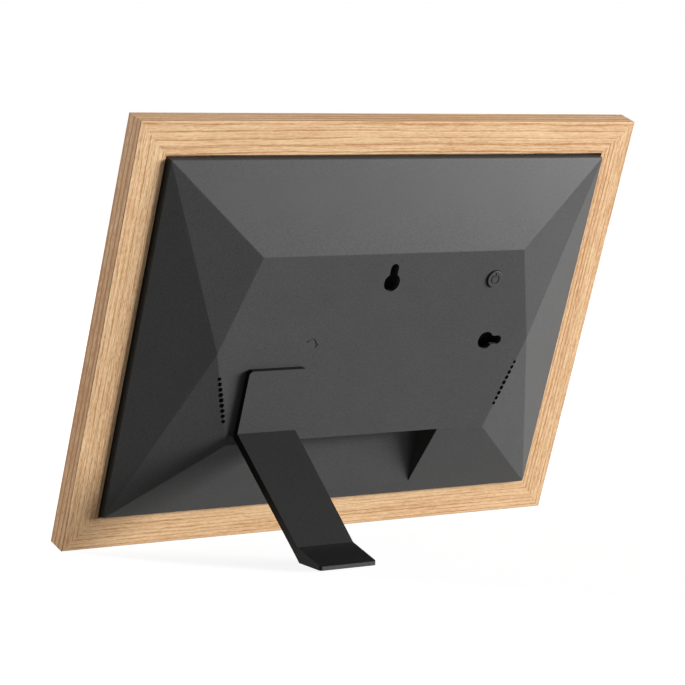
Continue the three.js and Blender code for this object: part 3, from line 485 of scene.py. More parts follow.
def plain(name, code, roughness, grain, contrast, stretch=(1, 1, 1), **sockets):
    """A finish with one colour, broken up by a grain of the given size in mm and contrast.

    stretch draws the grain out along an axis, as rolling or drawing does to a metal.
    """
    material, tree = blank(name)
    place = add(tree, "TexCoord").outputs["Object"]
    speckle = stretched(tree, place, tuple(grain * MM * factor for factor in stretch))
    surface(tree, {
        "Base Color": speckled(tree, speckle, linear(code), contrast),
        "Normal": add(tree, "Bump", {"Strength": 0.08, "Distance": 0.03 * MM, "Height": speckle}),
        "Roughness": roughness, **sockets,
    })
    return material


def small_finishes():
    """The finishes of the CAD nodes that keep their own shape, each with the nodes that wear it.

    The numbers are the roughness, the size of the grain and its contrast.
    """
    return [
        # beech, turned: pale pins with long fibres
        (plain("beech_turned", "#C9A36C", 0.7, 0.5, 0.2, (6, 1, 6)), numbered("corner_dowel", 4)),
        # polyurethane foam, die cut: matt black cells
        (plain("foam_die_cut", "#1B1B1C", 0.95, 0.6, 0.35), ["glass_gasket"]),
        # float glass printed black behind: deep gloss
        (plain("glass_float_printed", "#08090A", 0.04, 30, 0.04, IOR=1.52), ["touch_glass"]),
        # liquid crystal cell with its polariser: dark, satin
        (plain("polariser_laminated", "#15171C", 0.3, 8, 0.06), ["display_cell"]),
        # polycarbonate, moulded white: the backlight's tray and the connector
        (plain("polycarbonate_white", "#D8DADB", 0.45, 0.5, 0.04), ["backlight_tray", "display_connector"]),
        # zinc-plated steel, pressed: rolled streaks under a dull plating
        (plain("steel_zinc_plated", "#A4A8AB", 0.38, 0.4, 0.15, (12, 1, 1), Metallic=1.0),
         ["chassis_plate", "swivel_retainer"]),
        # steel screws, black zinc: dark and half dull
        (plain("steel_black_zinc", "#3A3B3D", 0.42, 0.3, 0.2, Metallic=1.0),
         [*numbered("chassis_screw", 4), *numbered("board_screw", 4), *numbered("speaker_screw", 4),
          *numbered("button_board_screw", 2), "swivel_screw"]),
        # glass-epoxy board under green solder mask: woven glass shows faintly
        (plain("epoxy_solder_mask", "#1D5A3A", 0.35, 0.7, 0.18), ["main_board", "button_board"]),
        # epoxy moulding compound: matt charcoal chips
        (plain("epoxy_moulded", "#202226", 0.55, 0.15, 0.2),
         ["processor", "memory_chip", "storage_chip", "power_inlet", "speaker_right", "speaker_left",
          "tact_switch"]),
        # nickel-plated steel, stamped: bright shells
        (plain("steel_nickel_plated", "#B9B7B0", 0.25, 0.5, 0.08, (1, 1, 8), Metallic=1.0),
         ["usb_socket", "card_slot", "wifi_module"]),
        # brass, turned: fine rings
        (plain("brass_turned", "#C0A05A", 0.3, 0.3, 0.15, (6, 1, 6), Metallic=1.0),
         numbered("board_spacer", 4)),
        # polyamide, moulded: milky
        (plain("polyamide_moulded", "#E6E2D6", 0.5, 0.6, 0.05), ["switch_plunger", "swivel_washer"]),
        # rubber, moulded: matt black
        (plain("rubber_moulded", "#161616", 0.9, 0.4, 0.3), ["stand_foot_pad"]),
        # polyimide ribbon: amber film over copper lines
        (plain("polyimide_ribbon", "#B9773A", 0.4, 0.5, 0.25, (1, 20, 20)), ["display_ribbon"]),
        # wire in black PVC, extruded: satin, with a faint mottle
        (plain("pvc_extruded", "#232325", 0.5, 0.5, 0.15),
         ["speaker_lead_right", "speaker_lead_left", "button_lead"]),
    ]


# ------------------------------------------------------------------ oak surround

LEDGE = 7.3  # depth of the ledge that the chassis lies on
LIP = 2.0  # oak in front of the glass
GLASS_PLAY = 0.4
DOWEL_RADIUS = 2.0
DOWEL_LENGTH = 11.0
WOOD_SCREW_SHANK = 0.8
WOOD_SCREW_LENGTH = 5.0
SKIN = 0.3  # how far the outer side's darker colour, stronger lines and painted shade, reaches round the edge

# quarter: quarter turns from the top rail's place; ring_gap: from one growth ring to the next;
# ring_strength: how brown their lines are; wander: how far the lines wave; ring_turn: slope of the rings
# in the section, in radians; detail: strength of hairs and flecks; late: painted shade that darkens
# the outer side; offset: the rail's place along, across and into the log
Rail = namedtuple("Rail", "quarter ring_gap ring_strength wander ring_turn detail late offset")
RAILS = {
    "rail_top": Rail(0, 2.0, 0.66, 2.0, 0.9, 0.75, 0.1, (0, 0.8, 0)),
    "rail_right": Rail(1, 1.9, 0.52, 1.8, 0.6, 1.3, 0.22, (310, 47, 21)),
    "rail_bottom": Rail(2, 1.6, 0.54, 2.0, 0.5, 0.85, 0.2, (720, 90, 40)),
    "rail_left": Rail(3, 1.7, 0.85, 1.6, 0.6, 1.3, 0.35, (1130, 150.9, 66)),
}


def rail_sizes(rail):
    """Half a rail's length, and how far its outer side, its pocket and its window lie from the middle."""
    glass = own_box("touch_glass")[1]
    if rail.quarter % 2:
        return HALF_HEIGHT, HALF_WIDTH, glass.x + GLASS_PLAY, WINDOW_X
    return HALF_WIDTH, HALF_HEIGHT, glass.z + GLASS_PLAY, WINDOW_Z


def rail_section(outer, inner, pocket, window):
    """Corners of a rail's section in y and z, with the pocket for the glass.

    Where the oak reaches further in behind the pocket than the pocket's wall, it has the chassis's ledge.
    """
    ledge = [(LEDGE, inner), (LEDGE, pocket)] if inner - pocket > NEAR else []
    return [(0, window), (0, outer), (DEPTH, outer), (DEPTH, inner), *ledge, (LIP, pocket), (LIP, window)]


def dowel_holes(half_length, outer):
    """The two dowel holes across a rail's mitres."""
    inset = sizes("surround_sizes").rail_width / MM / 2
    holes = []
    for side in (-1, 1):
        turn = Matrix.Rotation(side * math.pi / 4 + math.pi / 2, 4, "Y")
        place = Matrix.Translation((side * (half_length - inset), DEPTH / 2, outer - inset))
        holes.append(rod(DOWEL_RADIUS + FIT_GAP, DOWEL_LENGTH + 2 * FIT_GAP, place @ turn, 24))
    return holes


def screw_pilots(rail, window):
    """Pilot holes for the chassis screws that go into a rail."""
    turn = Matrix.Rotation(-rail.quarter * math.pi / 2, 4, "Y")
    places = [turn @ own_middle(node) for node in numbered("chassis_screw", 4)]
    return [bar(place.x, place.z, WOOD_SCREW_SHANK + FIT_GAP, LEDGE - WOOD_SCREW_LENGTH, DEPTH, 16)
            for place in places if place.z > window]


def mitred_rail(rail):
    """One rail, still in the top rail's place, with its mitres, rounded edges and holes."""
    group = sizes("surround_sizes")
    half_length, outer, pocket, window = rail_sizes(rail)
    inner = outer - group.rail_width / MM
    section = rail_section(outer, inner, pocket, window)
    bm = drawn([(-half_length, y, z) for y, z in section], (2 * half_length, 0, 0))
    # the bottom rail stands on its rear edge, which keeps the wider rounding
    rear_round = group.outer_round if rail.quarter == 2 else group.rear_round
    for y, z, width, segments in (
        (0, outer, group.outer_round, 4), (DEPTH, outer, rear_round, 3),
        (DEPTH, inner, group.inner_round, 2), (0, window, group.inner_round, 2),
    ):
        edges = [e for e in bm.edges if run(e, "x") > LONG
                 and abs(e.verts[0].co.y - y) < NEAR and abs(e.verts[0].co.z - z) < NEAR]
        rounded(bm, edges, width / MM, segments)
    seam = group.seam / MM
    for side in (-1, 1):
        normal = Vector((side, 0, -1)).normalized()
        place = Vector((side * half_length, 0, outer)) - normal * seam / 2
        mitre = sliced(bm, place, normal, remove=True)
        rounded(bm, [e for face in mitre for e in face.edges], seam, 1)
    bmesh.ops.recalc_face_normals(bm, faces=bm.faces)
    return combined(bm, dowel_holes(half_length, outer) + screw_pilots(rail, window), "DIFFERENCE")


def rested(bm):
    """Takes off what would reach under the table's top."""
    down = TO_OWN.to_3x3() @ Vector((0, 0, -1))
    sliced(bm, TO_OWN @ Vector((0, 0, 0)), down.normalized(), remove=True)


def mark_grain(bm, offset):
    """Stores along, across and into the wood, in mm, for the oak's pattern."""
    layer = bm.verts.layers.float_vector.new("grain")
    for vert in bm.verts:
        x, y, z = vert.co
        vert[layer] = Vector((x, z, y)) + Vector(offset)


class SURROUND_OT_model(bpy.types.Operator):
    """Models the four mitred oak rails."""

    bl_idname = "photo_frame.surround"
    bl_label = "Oak surround"

    def execute(self, context):
        for name, rail in RAILS.items():
            bm = mitred_rail(rail)
            mark_grain(bm, rail.offset)
            bm.transform(Matrix.Rotation(rail.quarter * math.pi / 2, 4, "Y"))
            rested(bm)
            outer = rail_sizes(rail)[1]
            wood = oak(name.replace("rail", "oak_oiled"), rail, outer + rail.offset[1] - SKIN)
            finished(bm, f"oak_{name}", "frame", wood, [name])
        return {"FINISHED"}


# ------------------------------------------------------------------ rear cover

WALL = 2.0
INSIDE = FLAT - WALL
RIM = 13.2  # depth of the rim's rear edge
FLAT_HALF_HEIGHT = 43.5
FLAT_HALF_TOP = 69.1
FLAT_HALF_WAIST = 82.6
SAME_PLANE = 0.5  # degrees between two facets that are one
CREASE = 3  # degrees at least across an edge between two facets
CORNER = 30  # degrees at least across an upright edge of the rim
RECESS_HALF_WIDTH = 43.4
RECESS_DEPTH = 11.7
RECESS_INSET = 0.5  # of its upper wall from the edge of the flat
RECESS_FLOOR = FLAT - RECESS_DEPTH
RECESS_TOP = RECESS_INSET - FLAT_HALF_HEIGHT
KEYHOLES = [(0, 30, 0, 1), (-59.1, 0, -1, 0)]  # x, z and the way the slot runs
KEYHOLE_RADIUS = 4.15
SLOT_RADIUS = 2.1
KEYHOLE_TRAVEL = 6.7
KEYHOLE_DEPTH = 6.4
KEYHOLE_MARGIN = 1.0
KEYHOLE_SHELL = 1.4
GRILLE_COUNT = 9
GRILLE_PITCH = 2.65
GRILLE_START = 12.2  # along the crease, from the waist corner
GRILLE_SMALL = 0.9  # radius of a row's end holes
GRILLE_LARGE = 1.12  # radius of its middle hole
PORT_PLAY = 0.4  # of an opening round its socket
INLET_BORE = 3.0
ENGRAVING = 0.3
MARK_X = 35.8
MARK_Z = 2.2
MARK_RADIUS = 2.6
MARK_LINE = 0.7
MARK_TIP_HALF = 1.3  # of the arrow's tip, across
MARK_TIP_LENGTH = 1.9
MARK_TIP_BASE = 0.4  # above the arc's middle
MARK_ARC = (0.15 * math.pi, 0.95 * math.pi)
BOSS_RADIUS = 2.3
SPEAKER_RIM = 1.0  # of a speaker's case above its ears
SMALL_SCREW_SHANK = 0.9
SMALL_SCREW_LENGTH = 4.0
BUTTON_RADIUS = 3.9
HUB_RADIUS = 6.5


def cover_form(wall, front):
    """The faceted form, or the same form a wall's thickness further in."""
    side = math.atan2(FLAT - RIM, COVER_X - FLAT_HALF_WAIST)
    end = math.atan2(FLAT - RIM, COVER_Z - FLAT_HALF_HEIGHT)
    x, z, flat = COVER_X - wall, COVER_Z - wall, FLAT - wall
    rim = RIM - wall * (1 - math.sin(end)) / math.cos(end)
    inset_x, inset_z = wall * math.tan(side / 2), wall * math.tan(end / 2)
    bm = bmesh.new()
    for i in (-1, 1):
        for k in (-1, 1):
            bm.verts.new((i * x, front, k * z))
            bm.verts.new((i * x, rim, k * z))
            bm.verts.new((i * (FLAT_HALF_TOP - inset_x), flat, k * (FLAT_HALF_HEIGHT - inset_z)))
        bm.verts.new((i * (FLAT_HALF_WAIST - inset_x), flat, 0))
    bmesh.ops.convex_hull(bm, input=bm.verts)
    bmesh.ops.dissolve_limit(bm, angle_limit=math.radians(SAME_PLANE), verts=bm.verts, edges=bm.edges)
    bmesh.ops.recalc_face_normals(bm, faces=bm.faces)
    return bm


def cover_outside():
    """The cover's outside with soft creases."""
    bm = cover_form(0, COVER_FRONT)
    creases = [e for e in sharp_edges(bm, CREASE) if min(v.co.y for v in e.verts) > RIM - NEAR]
    corners = [e for e in sharp_edges(bm, CORNER) if run(e, "y") > LONG
               and min(v.co.y for v in e.verts) < RIM - LONG]
    rounded(bm, creases + corners, sizes("cover_sizes").edge_round / MM, 3)
    return bm


def keyhole_pocket(hole, extra, front, back):
    """The space behind a keyhole, as wide as a screw's head needs."""
    x, z, dx, dz = hole
    half = KEYHOLE_RADIUS + KEYHOLE_MARGIN + extra
    far = KEYHOLE_TRAVEL - KEYHOLE_RADIUS + SLOT_RADIUS
    far_x, far_z = x + dx * far, z + dz * far
    return block((min(x, far_x) - half, front, min(z, far_z) - half),
                 (max(x, far_x) + half, back, max(z, far_z) + half))


def keyhole_cuts(hole):
    """The keyhole's round, its slot and the slot's round end."""
    x, z, dx, dz = hole
    end_x, end_z = x + dx * KEYHOLE_TRAVEL, z + dz * KEYHOLE_TRAVEL
    side_x, side_z = abs(dz) * SLOT_RADIUS, abs(dx) * SLOT_RADIUS
    front, back = INSIDE - PAST, FLAT + PAST
    slot = block((min(x, end_x) - side_x, front, min(z, end_z) - side_z),
                 (max(x, end_x) + side_x, back, max(z, end_z) + side_z))
    return [bar(x, z, KEYHOLE_RADIUS, front, back, 48), slot, bar(end_x, end_z, SLOT_RADIUS, front, back)]


def grille_cuts():
    """Two rows of sound holes along the lower creases, largest in the middle of a row."""
    crease = Vector((FLAT_HALF_TOP - FLAT_HALF_WAIST, -FLAT_HALF_HEIGHT)).normalized()
    cuts = []
    for side in (-1, 1):
        for number in range(GRILLE_COUNT):
            along = GRILLE_START + number * GRILLE_PITCH
            swell = math.sin(math.pi * number / (GRILLE_COUNT - 1))
            radius = GRILLE_SMALL + (GRILLE_LARGE - GRILLE_SMALL) * swell
            x = side * (FLAT_HALF_WAIST + crease.x * along)
            cuts.append(bar(x, crease.y * along, radius, INSIDE - WALL, FLAT + PAST, 20))
    return cuts


def port_cuts():
    """Openings for the sockets through the recess's upper wall."""
    below, above = RECESS_TOP - PAST, RECESS_TOP + WALL + PAST
    cuts = []
    for node in ("usb_socket", "card_slot"):
        low, high = own_box(node)
        cuts.append(block((low.x - PORT_PLAY, low.y - PORT_PLAY, below),
                          (high.x + PORT_PLAY, high.y + PORT_PLAY, above)))
    inlet = own_middle("power_inlet")
    place = Matrix.Translation((inlet.x, inlet.y, (below + above) / 2))
    return [*cuts, rod(INLET_BORE + PORT_PLAY, above - below, place, 32)]


def turn_mark():
    """A small turning arrow beside the stand, cut into the flat."""
    depth, middle, base = FLAT - ENGRAVING, MARK_X - MARK_RADIUS, MARK_Z + MARK_TIP_BASE
    tip = [(middle - MARK_TIP_HALF, depth, base), (middle, depth, base - MARK_TIP_LENGTH),
           (middle + MARK_TIP_HALF, depth, base)]
    return [arc(MARK_X, MARK_Z, MARK_RADIUS, MARK_LINE, *MARK_ARC, depth, FLAT + PAST, 18),
            drawn(tip, (0, ENGRAVING + PAST, 0))]


def screw_posts():
    """Where the speakers' and the button board's screws go in, as x, z and the depth of their seat."""
    ears = own_box("speaker_right")[1].y - SPEAKER_RIM
    board = own_box("button_board")[1].y
    posts = []
    for nodes, seat in ((numbered("speaker_screw", 4), ears), (numbered("button_board_screw", 2), board)):
        for node in nodes:
            x, _, z = own_middle(node)
            posts.append((x, z, seat))
    return posts


def cover_inserts():
    """What stands inside the cover: the recess's walls, the keyholes' pockets and the bosses."""
    pocket_front = INSIDE - KEYHOLE_DEPTH
    shells = [keyhole_pocket(hole, KEYHOLE_SHELL, pocket_front - KEYHOLE_SHELL, INSIDE + WALL / 2)
              for hole in KEYHOLES]
    walls = block((-RECESS_HALF_WIDTH - WALL, RECESS_FLOOR - WALL, -COVER_Z - PAST),
                  (RECESS_HALF_WIDTH + WALL, FLAT + PAST, RECESS_TOP + WALL))
    bosses = [bar(x, z, BOSS_RADIUS, seat + SEAT_GAP, FLAT - WALL / 2, 24) for x, z, seat in screw_posts()]
    return combined(walls, [*shells, *bosses], "UNION")


def cover_cuts():
    """Everything that is cut out of the cover."""
    recess = block((-RECESS_HALF_WIDTH, RECESS_FLOOR, -COVER_Z - 2 * PAST),
                   (RECESS_HALF_WIDTH, FLAT + 2 * PAST, RECESS_TOP))
    pockets = [keyhole_pocket(hole, 0, INSIDE - KEYHOLE_DEPTH, INSIDE) for hole in KEYHOLES]
    holes = [cut for hole in KEYHOLES for cut in keyhole_cuts(hole)]
    for node, radius in (("power_button", BUTTON_RADIUS), ("swivel_washer", HUB_RADIUS)):
        middle = own_middle(node)
        holes.append(bar(middle.x, middle.z, radius + FIT_GAP, INSIDE - PAST, FLAT + PAST, 48))
    screws = [bar(x, z, SMALL_SCREW_SHANK + FIT_GAP, seat, seat + SMALL_SCREW_LENGTH, 16)
              for x, z, seat in screw_posts()]
    return [recess, *pockets, *holes, *grille_cuts(), *port_cuts(), *turn_mark(), *screws]


def cover_body():
    """The whole cover."""
    inserts = combined(cover_inserts(), [cover_outside()], "INTERSECT")
    shell = combined(cover_outside(), [cover_form(WALL, COVER_FRONT - PAST)], "DIFFERENCE")
    return combined(combined(shell, [inserts], "UNION"), cover_cuts(), "DIFFERENCE")


class COVER_OT_model(bpy.types.Operator):
    """Models the faceted rear cover with its recess, keyholes, sound holes and mark."""

    bl_idname = "photo_frame.cover"
    bl_label = "Rear cover"

    def execute(self, context):
        base = sizes("cover_sizes").plastic
        # ABS, moulded: charcoal with a fine spark-eroded grit and a low satin sheen
        shell = moulded("abs_moulded_cover", base, roughness=0.32, grit=0.5, specular=0.09)
        finished(cover_body(), "moulded_rear_cover", "frame", shell, ["rear_cover"])
        return {"FINISHED"}


# ------------------------------------------------------------------ power button

BUTTON_ROUND = 0.3
BUTTON_FLANGE = 1.2
BUTTON_FLANGE_RADIUS = 5.0
BUTTON_STEM_RADIUS = 1.5
SYMBOL_RADIUS = 2.0
SYMBOL_LINE = 0.55
SYMBOL_ARC = (0.68 * math.pi, 2.32 * math.pi)


def button_body():
    """The cap with its flange and stem, and the standby sign cut into it."""
    x, _, z = own_middle("power_button")
    low, high = own_box("power_button")
    back, depth = high.y, high.y - ENGRAVING
    flange_back = INSIDE - SEAT_GAP
    flange_front = flange_back - BUTTON_FLANGE
    cap = bar(x, z, BUTTON_RADIUS, flange_front, back, 64)
    top = [e for e in cap.edges if all(v.co.y > back - NEAR for v in e.verts)]
    rounded(cap, top, BUTTON_ROUND, 3)
    flange = bar(x, z, BUTTON_FLANGE_RADIUS, flange_front, flange_back, 48)
    stem = bar(x, z, BUTTON_STEM_RADIUS, low.y, flange_back - BUTTON_FLANGE / 2, 24)
    cap = combined(cap, [flange, stem], "UNION")
    ring = arc(x, z, SYMBOL_RADIUS, SYMBOL_LINE, *SYMBOL_ARC, depth, back + PAST)
    stroke = block((x - SYMBOL_LINE / 2, depth, z + SYMBOL_RADIUS / 2),
                   (x + SYMBOL_LINE / 2, back + PAST, z + 1.5 * SYMBOL_RADIUS))
    return combined(cap, [ring, stroke], "DIFFERENCE")


class BUTTON_OT_model(bpy.types.Operator):
    """Models the power button."""

    bl_idname = "photo_frame.button"
    bl_label = "Power button"

    def execute(self, context):
        base = sizes("cover_sizes").plastic
        # ABS, moulded: the cover's charcoal, a little smoother where fingers rub it
        cap = moulded("abs_moulded_button", base, roughness=0.3, grit=0.35, specular=0.1, relief=0.06)
        finished(button_body(), "moulded_power_button", "button", cap, ["power_button"])
        return {"FINISHED"}


# ------------------------------------------------------------------ swivel stand

PIVOT = own_middle("swivel_washer")
PLATE_WIDTH = 29.6
PLATE_HEIGHT = 30.0
PLATE_THICKNESS = 2.5
PLATE_FRONT = FLAT + FIT_GAP
PLATE_BACK = PLATE_FRONT + PLATE_THICKNESS
PLATE_TOP = PIVOT.z + PLATE_HEIGHT / 2
PLATE_CORNER = 2.0
BEND_RISE = 0.8  # of the bend between plate and arm, above the plate's lower edge
ARM_THICKNESS = 3.7
FOOT_WIDTH = 28.2
EDGE_CHAMFER = 0.6  # of the oak's edge on the table, whose rear end is the resting edge
BEND_REACH = 85.2  # from the oak's resting edge back to the bend above the foot
BEND_HEIGHT = 7.7  # of that bend above the table
HEEL_HEIGHT = 1.3  # of the foot's under side where the arm meets it
FOOT_REACH = 102.3  # back to the end of the foot
FOOT_TOP = 1.9  # height of the foot's upper edge at its end
FOOT_LIFT = 0.2  # of its lower edge there
FOOT_CORNER = 1.2
PAD_SETBACK = 3.0  # in front of the foot's end
PAD_LENGTH = 8.0
PAD_THICKNESS = 1.0
HUB_SCREW_SHANK = 1.5
EDGE_TURN = 22  # degrees at least across an edge that is rounded
# painted shade: the share of its colour that each face keeps, lower where less light falls, 1 being all of
# it
PLATE_PAINTED_LIGHT = 1.0
ARM_PAINTED_LIGHT = 0.4
FOOT_PAINTED_LIGHT = 0.12
FOOT_SIDE_PAINTED_LIGHT = 0.9
END_PAINTED_LIGHT = 1.0
SIDE_PAINTED_LIGHT = 0.12

Side = namedtuple("Side", "top_front front heel tip_low tip_top foot bend top_back")


def on_table(back, height):
    """A point given by its distance behind the oak's resting edge and its height above the table."""
    y = DEPTH - EDGE_CHAMFER + back * math.cos(LEAN) - height * math.sin(LEAN)
    z = -HALF_HEIGHT + back * math.sin(LEAN) + height * math.cos(LEAN)
    return Vector((y, z))


def stand_side():
    """Corners of the stand's side, with y as their x and z as their y."""
    bend = Vector((PLATE_BACK, PLATE_TOP - PLATE_HEIGHT + BEND_RISE))
    foot = on_table(BEND_REACH, BEND_HEIGHT)
    along = (foot - bend).normalized()
    shift = Vector((along.y, -along.x)) * ARM_THICKNESS
    under, under_foot = bend + shift, foot + shift
    slope = (under_foot.y - under.y) / (under_foot.x - under.x)
    front = Vector((PLATE_FRONT, under.y + slope * (PLATE_FRONT - under.x)))
    base = on_table(0, HEEL_HEIGHT)
    rise = [(p.y - base.y) * math.cos(LEAN) - (p.x - base.x) * math.sin(LEAN) for p in (under, under_foot)]
    heel = under + (under_foot - under) * (rise[0] / (rise[0] - rise[1]))
    return Side(
        Vector((PLATE_FRONT, PLATE_TOP)), front, heel, on_table(FOOT_REACH, FOOT_LIFT),
        on_table(FOOT_REACH, FOOT_TOP), foot, bend, Vector((PLATE_BACK, PLATE_TOP)),
    )


def stand_blank():
    """Plate, arm and foot in one, with the arm's slight taper and rounded edges."""
    side = stand_side()
    bm = drawn([(PIVOT.x - PLATE_WIDTH / 2, y, z) for y, z in side], (PLATE_WIDTH, 0, 0))
    for y in (PLATE_BACK, side.foot.x):
        sliced(bm, (0, y, 0), (0, 1, 0))
    for vert in bm.verts:
        share = min(1, max(0, (vert.co.y - PLATE_BACK) / (side.foot.x - PLATE_BACK)))
        width = 1 + share * (FOOT_WIDTH / PLATE_WIDTH - 1)
        vert.co.x = PIVOT.x + (vert.co.x - PIVOT.x) * width
    corners = [e for e in bm.edges if all(abs(v.co.z - PLATE_TOP) < NEAR for v in e.verts)
               and run(e, "y") > LONG]
    rounded(bm, corners, PLATE_CORNER, 6)
    tip = max(vert.co.y for vert in bm.verts)
    ends = [e for e in bm.edges if min(v.co.y for v in e.verts) > tip - FOOT_TOP
            and run(e, "x") < NEAR and e.calc_length() < FOOT_TOP]
    rounded(bm, ends, FOOT_CORNER, 5)
    rounded(bm, sharp_edges(bm, EDGE_TURN), sizes("stand_sizes").edge_round / MM, 3)
    return bm


def pad_pocket():
    """The pocket for the rubber pad, in the foot's under side."""
    low, high = own_box("stand_foot_pad")
    far = FOOT_REACH - PAD_SETBACK + FIT_GAP
    near = far - PAD_LENGTH - 2 * FIT_GAP
    top = PAD_THICKNESS + SEAT_GAP
    corners = [on_table(near, -PAST), on_table(far, -PAST), on_table(far, top), on_table(near, top)]
    width = high.x - low.x + 2 * FIT_GAP
    return drawn([(low.x - FIT_GAP, y, z) for y, z in corners], (width, 0, 0))


def stand_body():
    """The stand with its hub, the screw's hole and the pad's pocket."""
    hub_front = own_box("swivel_retainer")[1].y + SEAT_GAP
    hub = bar(PIVOT.x, PIVOT.z, HUB_RADIUS, hub_front, PLATE_FRONT + PAST, 64)
    whole = combined(stand_blank(), [hub], "UNION")
    screw_end = own_box("swivel_screw")[1].y + FIT_GAP
    hole = bar(PIVOT.x, PIVOT.z, HUB_SCREW_SHANK + FIT_GAP, 0, screw_end, 24)
    return combined(whole, [hole, pad_pocket()], "DIFFERENCE")


def mark_painted_shade(bm):
    """Stores a painted shade for each face in its grit attribute.

    The plate and the foot's end keep their full colour and the foot's narrow sides nearly so; the arm's
    upper side is painted darker, and the foot's upper side, the narrow sides of plate and arm and what
    faces down darkest, as shade for faces that get less light.
    """
    # the grit attribute holds the painted shade of each face
    layer = bm.faces.layers.float.new("grit")
    side = stand_side()
    arm = (side.foot - side.bend).normalized()
    foot = (side.tip_top - side.foot).normalized()
    zones = [(Vector((0, 1, 0)), PLATE_PAINTED_LIGHT), (Vector((0, -arm.y, arm.x)), ARM_PAINTED_LIGHT),
             (Vector((0, -foot.y, foot.x)), FOOT_PAINTED_LIGHT),
             (Vector((0, math.cos(LEAN), math.sin(LEAN))), END_PAINTED_LIGHT)]
    bm.normal_update()
    for face in bm.faces:
        on_foot = face.calc_center_median().y > side.foot.x and abs(face.normal.x) > SAME_WAY
        face[layer] = FOOT_SIDE_PAINTED_LIGHT if on_foot else SIDE_PAINTED_LIGHT
        for normal, grit in zones:
            if face.normal.dot(normal) > SAME_WAY:
                face[layer] = grit


class STAND_OT_model(bpy.types.Operator):
    """Models the stand: plate, bent arm and foot in one moulding."""

    bl_idname = "photo_frame.stand"
    bl_label = "Swivel stand"

    def execute(self, context):
        base = sizes("stand_sizes").plastic
        # ABS, moulded: charcoal with the cover's grit, and painted shade by the grit attribute on faces
        # that get less light
        arm = moulded("abs_moulded_stand", base, roughness=0.32, grit=0.5, specular=0.08, painted_shade_zones=True)
        body = stand_body()
        mark_painted_shade(body)
        finished(body, "moulded_stand", "swivel_stand", arm, ["stand"])
        return {"FINISHED"}


# ------------------------------------------------------------------ pieces that keep their CAD shape


class FITTINGS_OT_finish(bpy.types.Operator):
    """Gives every other piece its finish."""

    bl_idname = "photo_frame.fittings"
    bl_label = "Inner pieces"

    def execute(self, context):
        for finish, names in small_finishes():
            for name in names:
                materials = frame["nodes"][name].data.materials
                materials.clear()
                materials.append(finish)
        return {"FINISHED"}


# ------------------------------------------------------------------ studio, in metres

AIM = Vector((0.0010, -0.0226, 0.0858))
CAMERA_AZIMUTH = 145.3
CAMERA_ELEVATION = 4.88
CAMERA_ROLL = 0.41
SENSOR = 36  # mm wide
FILL = 0.025  # strength of the world's light, far below what the eye sees of it
PAPER_DROP = 0.0002  # how far the paper lies under the part
PAPER_SHADOW = 0.25  # grey that the lamps add to the paper's glow, and that a shadow takes away
LAMPS = [
    # name, direction from the frame as azimuth and elevation, distance, width, height, power in W
    ("key", 235, 8, 3.5, 1.9, 1.0, 245),
    ("front", 28, 28, 3.0, 1.1, 1.0, 98),
]


def toward(azimuth, elevation):
    """The direction in which a camera at this azimuth and elevation stands, from the frame."""
    a, e = math.radians(azimuth), math.radians(elevation)
    return Vector((math.sin(a) * math.cos(e), -math.cos(a) * math.cos(e), math.sin(e)))


def aimed(name, data, place, roll=0.0):
    """A camera or a lamp at a place, turned to the part."""
    made = bpy.data.objects.new(name, data)
    bpy.context.scene.collection.objects.link(made)
    turn = (AIM - place).to_track_quat("-Z", "Y").to_matrix().to_4x4()
    made.matrix_world = Matrix.Translation(place) @ turn @ Matrix.Rotation(roll, 4, "Z")
    return made


def seen_or_lit(tree, seen, lit):
    """Mixes two shaders: one for what the eye, gloss and glass see, one for the light that is cast."""
    path = add(tree, "LightPath").outputs
    factor = add(tree, "Math", (path["Is Camera Ray"], path["Is Glossy Ray"]), operation="MAXIMUM")
    factor = add(tree, "Math", (factor, path["Is Transmission Ray"]), operation="MAXIMUM")
    return add(tree, "MixShader", (factor, lit, seen))


def studio_world():
    """White to look at, a faint grey fill as light."""
    world = bpy.data.worlds.new("studio")
    tree = empty_tree(world)
    seen = add(tree, "Background", {"Color": grey(1.0), "Strength": 1.0})
    lit = add(tree, "Background", {"Color": grey(1.0), "Strength": FILL})
    add(tree, "OutputWorld", {"Surface": seen_or_lit(tree, seen, lit)})
    bpy.context.scene.world = world


def paper_floor():
    """White paper, matt: it stays white to the eye and keeps a soft shadow."""
    group = sizes("studio_sizes")
    bm = bmesh.new()
    bmesh.ops.create_grid(bm, x_segments=1, y_segments=1, size=group.floor_size / 2,
                          matrix=Matrix.Translation((0, 0, -PAPER_DROP)))
    floor = as_object(bm, "paper_floor")
    material, tree = blank("paper_matt")
    lit = add(tree, "BsdfDiffuse", {"Color": group.floor})
    shadowed = add(tree, "BsdfDiffuse", {"Color": grey(PAPER_SHADOW)})
    place = add(tree, "TexCoord").outputs["Object"]
    away = add(tree, "VectorMath", (place,), operation="LENGTH").outputs["Value"]
    # the glow is a little weaker near the part, so that the shadow shows there
    strength = add(tree, "MapRange", {
        "Value": away, "From Min": 0.3, "From Max": 0.9, "To Min": 0.9, "To Max": 1.0,
    })
    glow = add(tree, "Emission", {"Color": grey(1.0), "Strength": strength})
    seen = add(tree, "AddShader", (glow, shadowed))
    add(tree, "OutputMaterial", {"Surface": seen_or_lit(tree, seen, lit)})
    floor.data.materials.append(material)


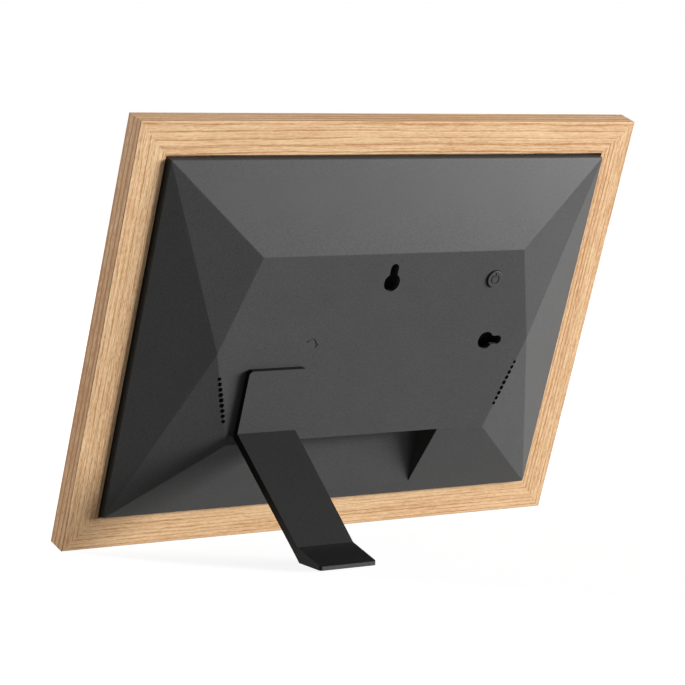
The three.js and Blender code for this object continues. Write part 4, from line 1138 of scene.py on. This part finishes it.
class STUDIO_OT_set(bpy.types.Operator):
    """Sets the floor, the lamps, the world and the camera."""

    bl_idname = "photo_frame.studio"
    bl_label = "Studio"

    def execute(self, context):
        group = sizes("studio_sizes")
        context.scene.view_settings.view_transform = "Standard"
        studio_world()
        paper_floor()
        for name, azimuth, elevation, distance, width, height, power in LAMPS:
            data = bpy.data.lights.new(name, "AREA")
            data.shape = "RECTANGLE"
            data.size, data.size_y, data.energy = width, height, power
            lamp = aimed(name, data, AIM + toward(azimuth, elevation) * distance)
            lamp.visible_camera = False
        data = bpy.data.cameras.new("camera")
        data.lens, data.sensor_width = group.focal, SENSOR
        data.clip_start, data.clip_end = 0.01, 50
        place = AIM + toward(CAMERA_AZIMUTH, CAMERA_ELEVATION) * group.distance
        context.scene.camera = aimed("camera", data, place, math.radians(CAMERA_ROLL))
        return {"FINISHED"}


# ------------------------------------------------------------------ panel and registration

STEPS = (SURROUND_OT_model, COVER_OT_model, BUTTON_OT_model, STAND_OT_model, FITTINGS_OT_finish,
         STUDIO_OT_set)
GROUPS = {"surround_sizes": SurroundSizes, "cover_sizes": CoverSizes, "stand_sizes": StandSizes,
          "studio_sizes": StudioSizes}


class PHOTO_FRAME_PT_sidebar(bpy.types.Panel):
    """Lists the sizes, the colours and the steps."""

    bl_idname = "PHOTO_FRAME_PT_sidebar"
    bl_label = "Photo frame"
    bl_space_type = "VIEW_3D"
    bl_region_type = "UI"
    bl_category = "Photo frame"

    def draw(self, context):
        for name, kind in GROUPS.items():
            box = self.layout.box()
            box.label(text=kind.__doc__)
            for entry in kind.__annotations__:
                box.prop(sizes(name), entry)
        for step in STEPS:
            self.layout.operator(step.bl_idname)


def register():
    """Registers the classes and hangs the property groups on the scene."""
    for kind in (*GROUPS.values(), *STEPS, PHOTO_FRAME_PT_sidebar):
        bpy.utils.register_class(kind)
    for name, kind in GROUPS.items():
        setattr(bpy.types.Scene, name, bpy.props.PointerProperty(type=kind))


def unregister():
    """Takes the property groups and the classes away again."""
    for name in GROUPS:
        delattr(bpy.types.Scene, name)
    for kind in (PHOTO_FRAME_PT_sidebar, *reversed(STEPS), *GROUPS.values()):
        bpy.utils.unregister_class(kind)


def main():
    """Runs every step in order."""
    register()
    for step in STEPS:
        family, name = step.bl_idname.split(".")
        getattr(getattr(bpy.ops, family), name)()
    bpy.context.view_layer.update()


if __name__ == "__main__":
    main()
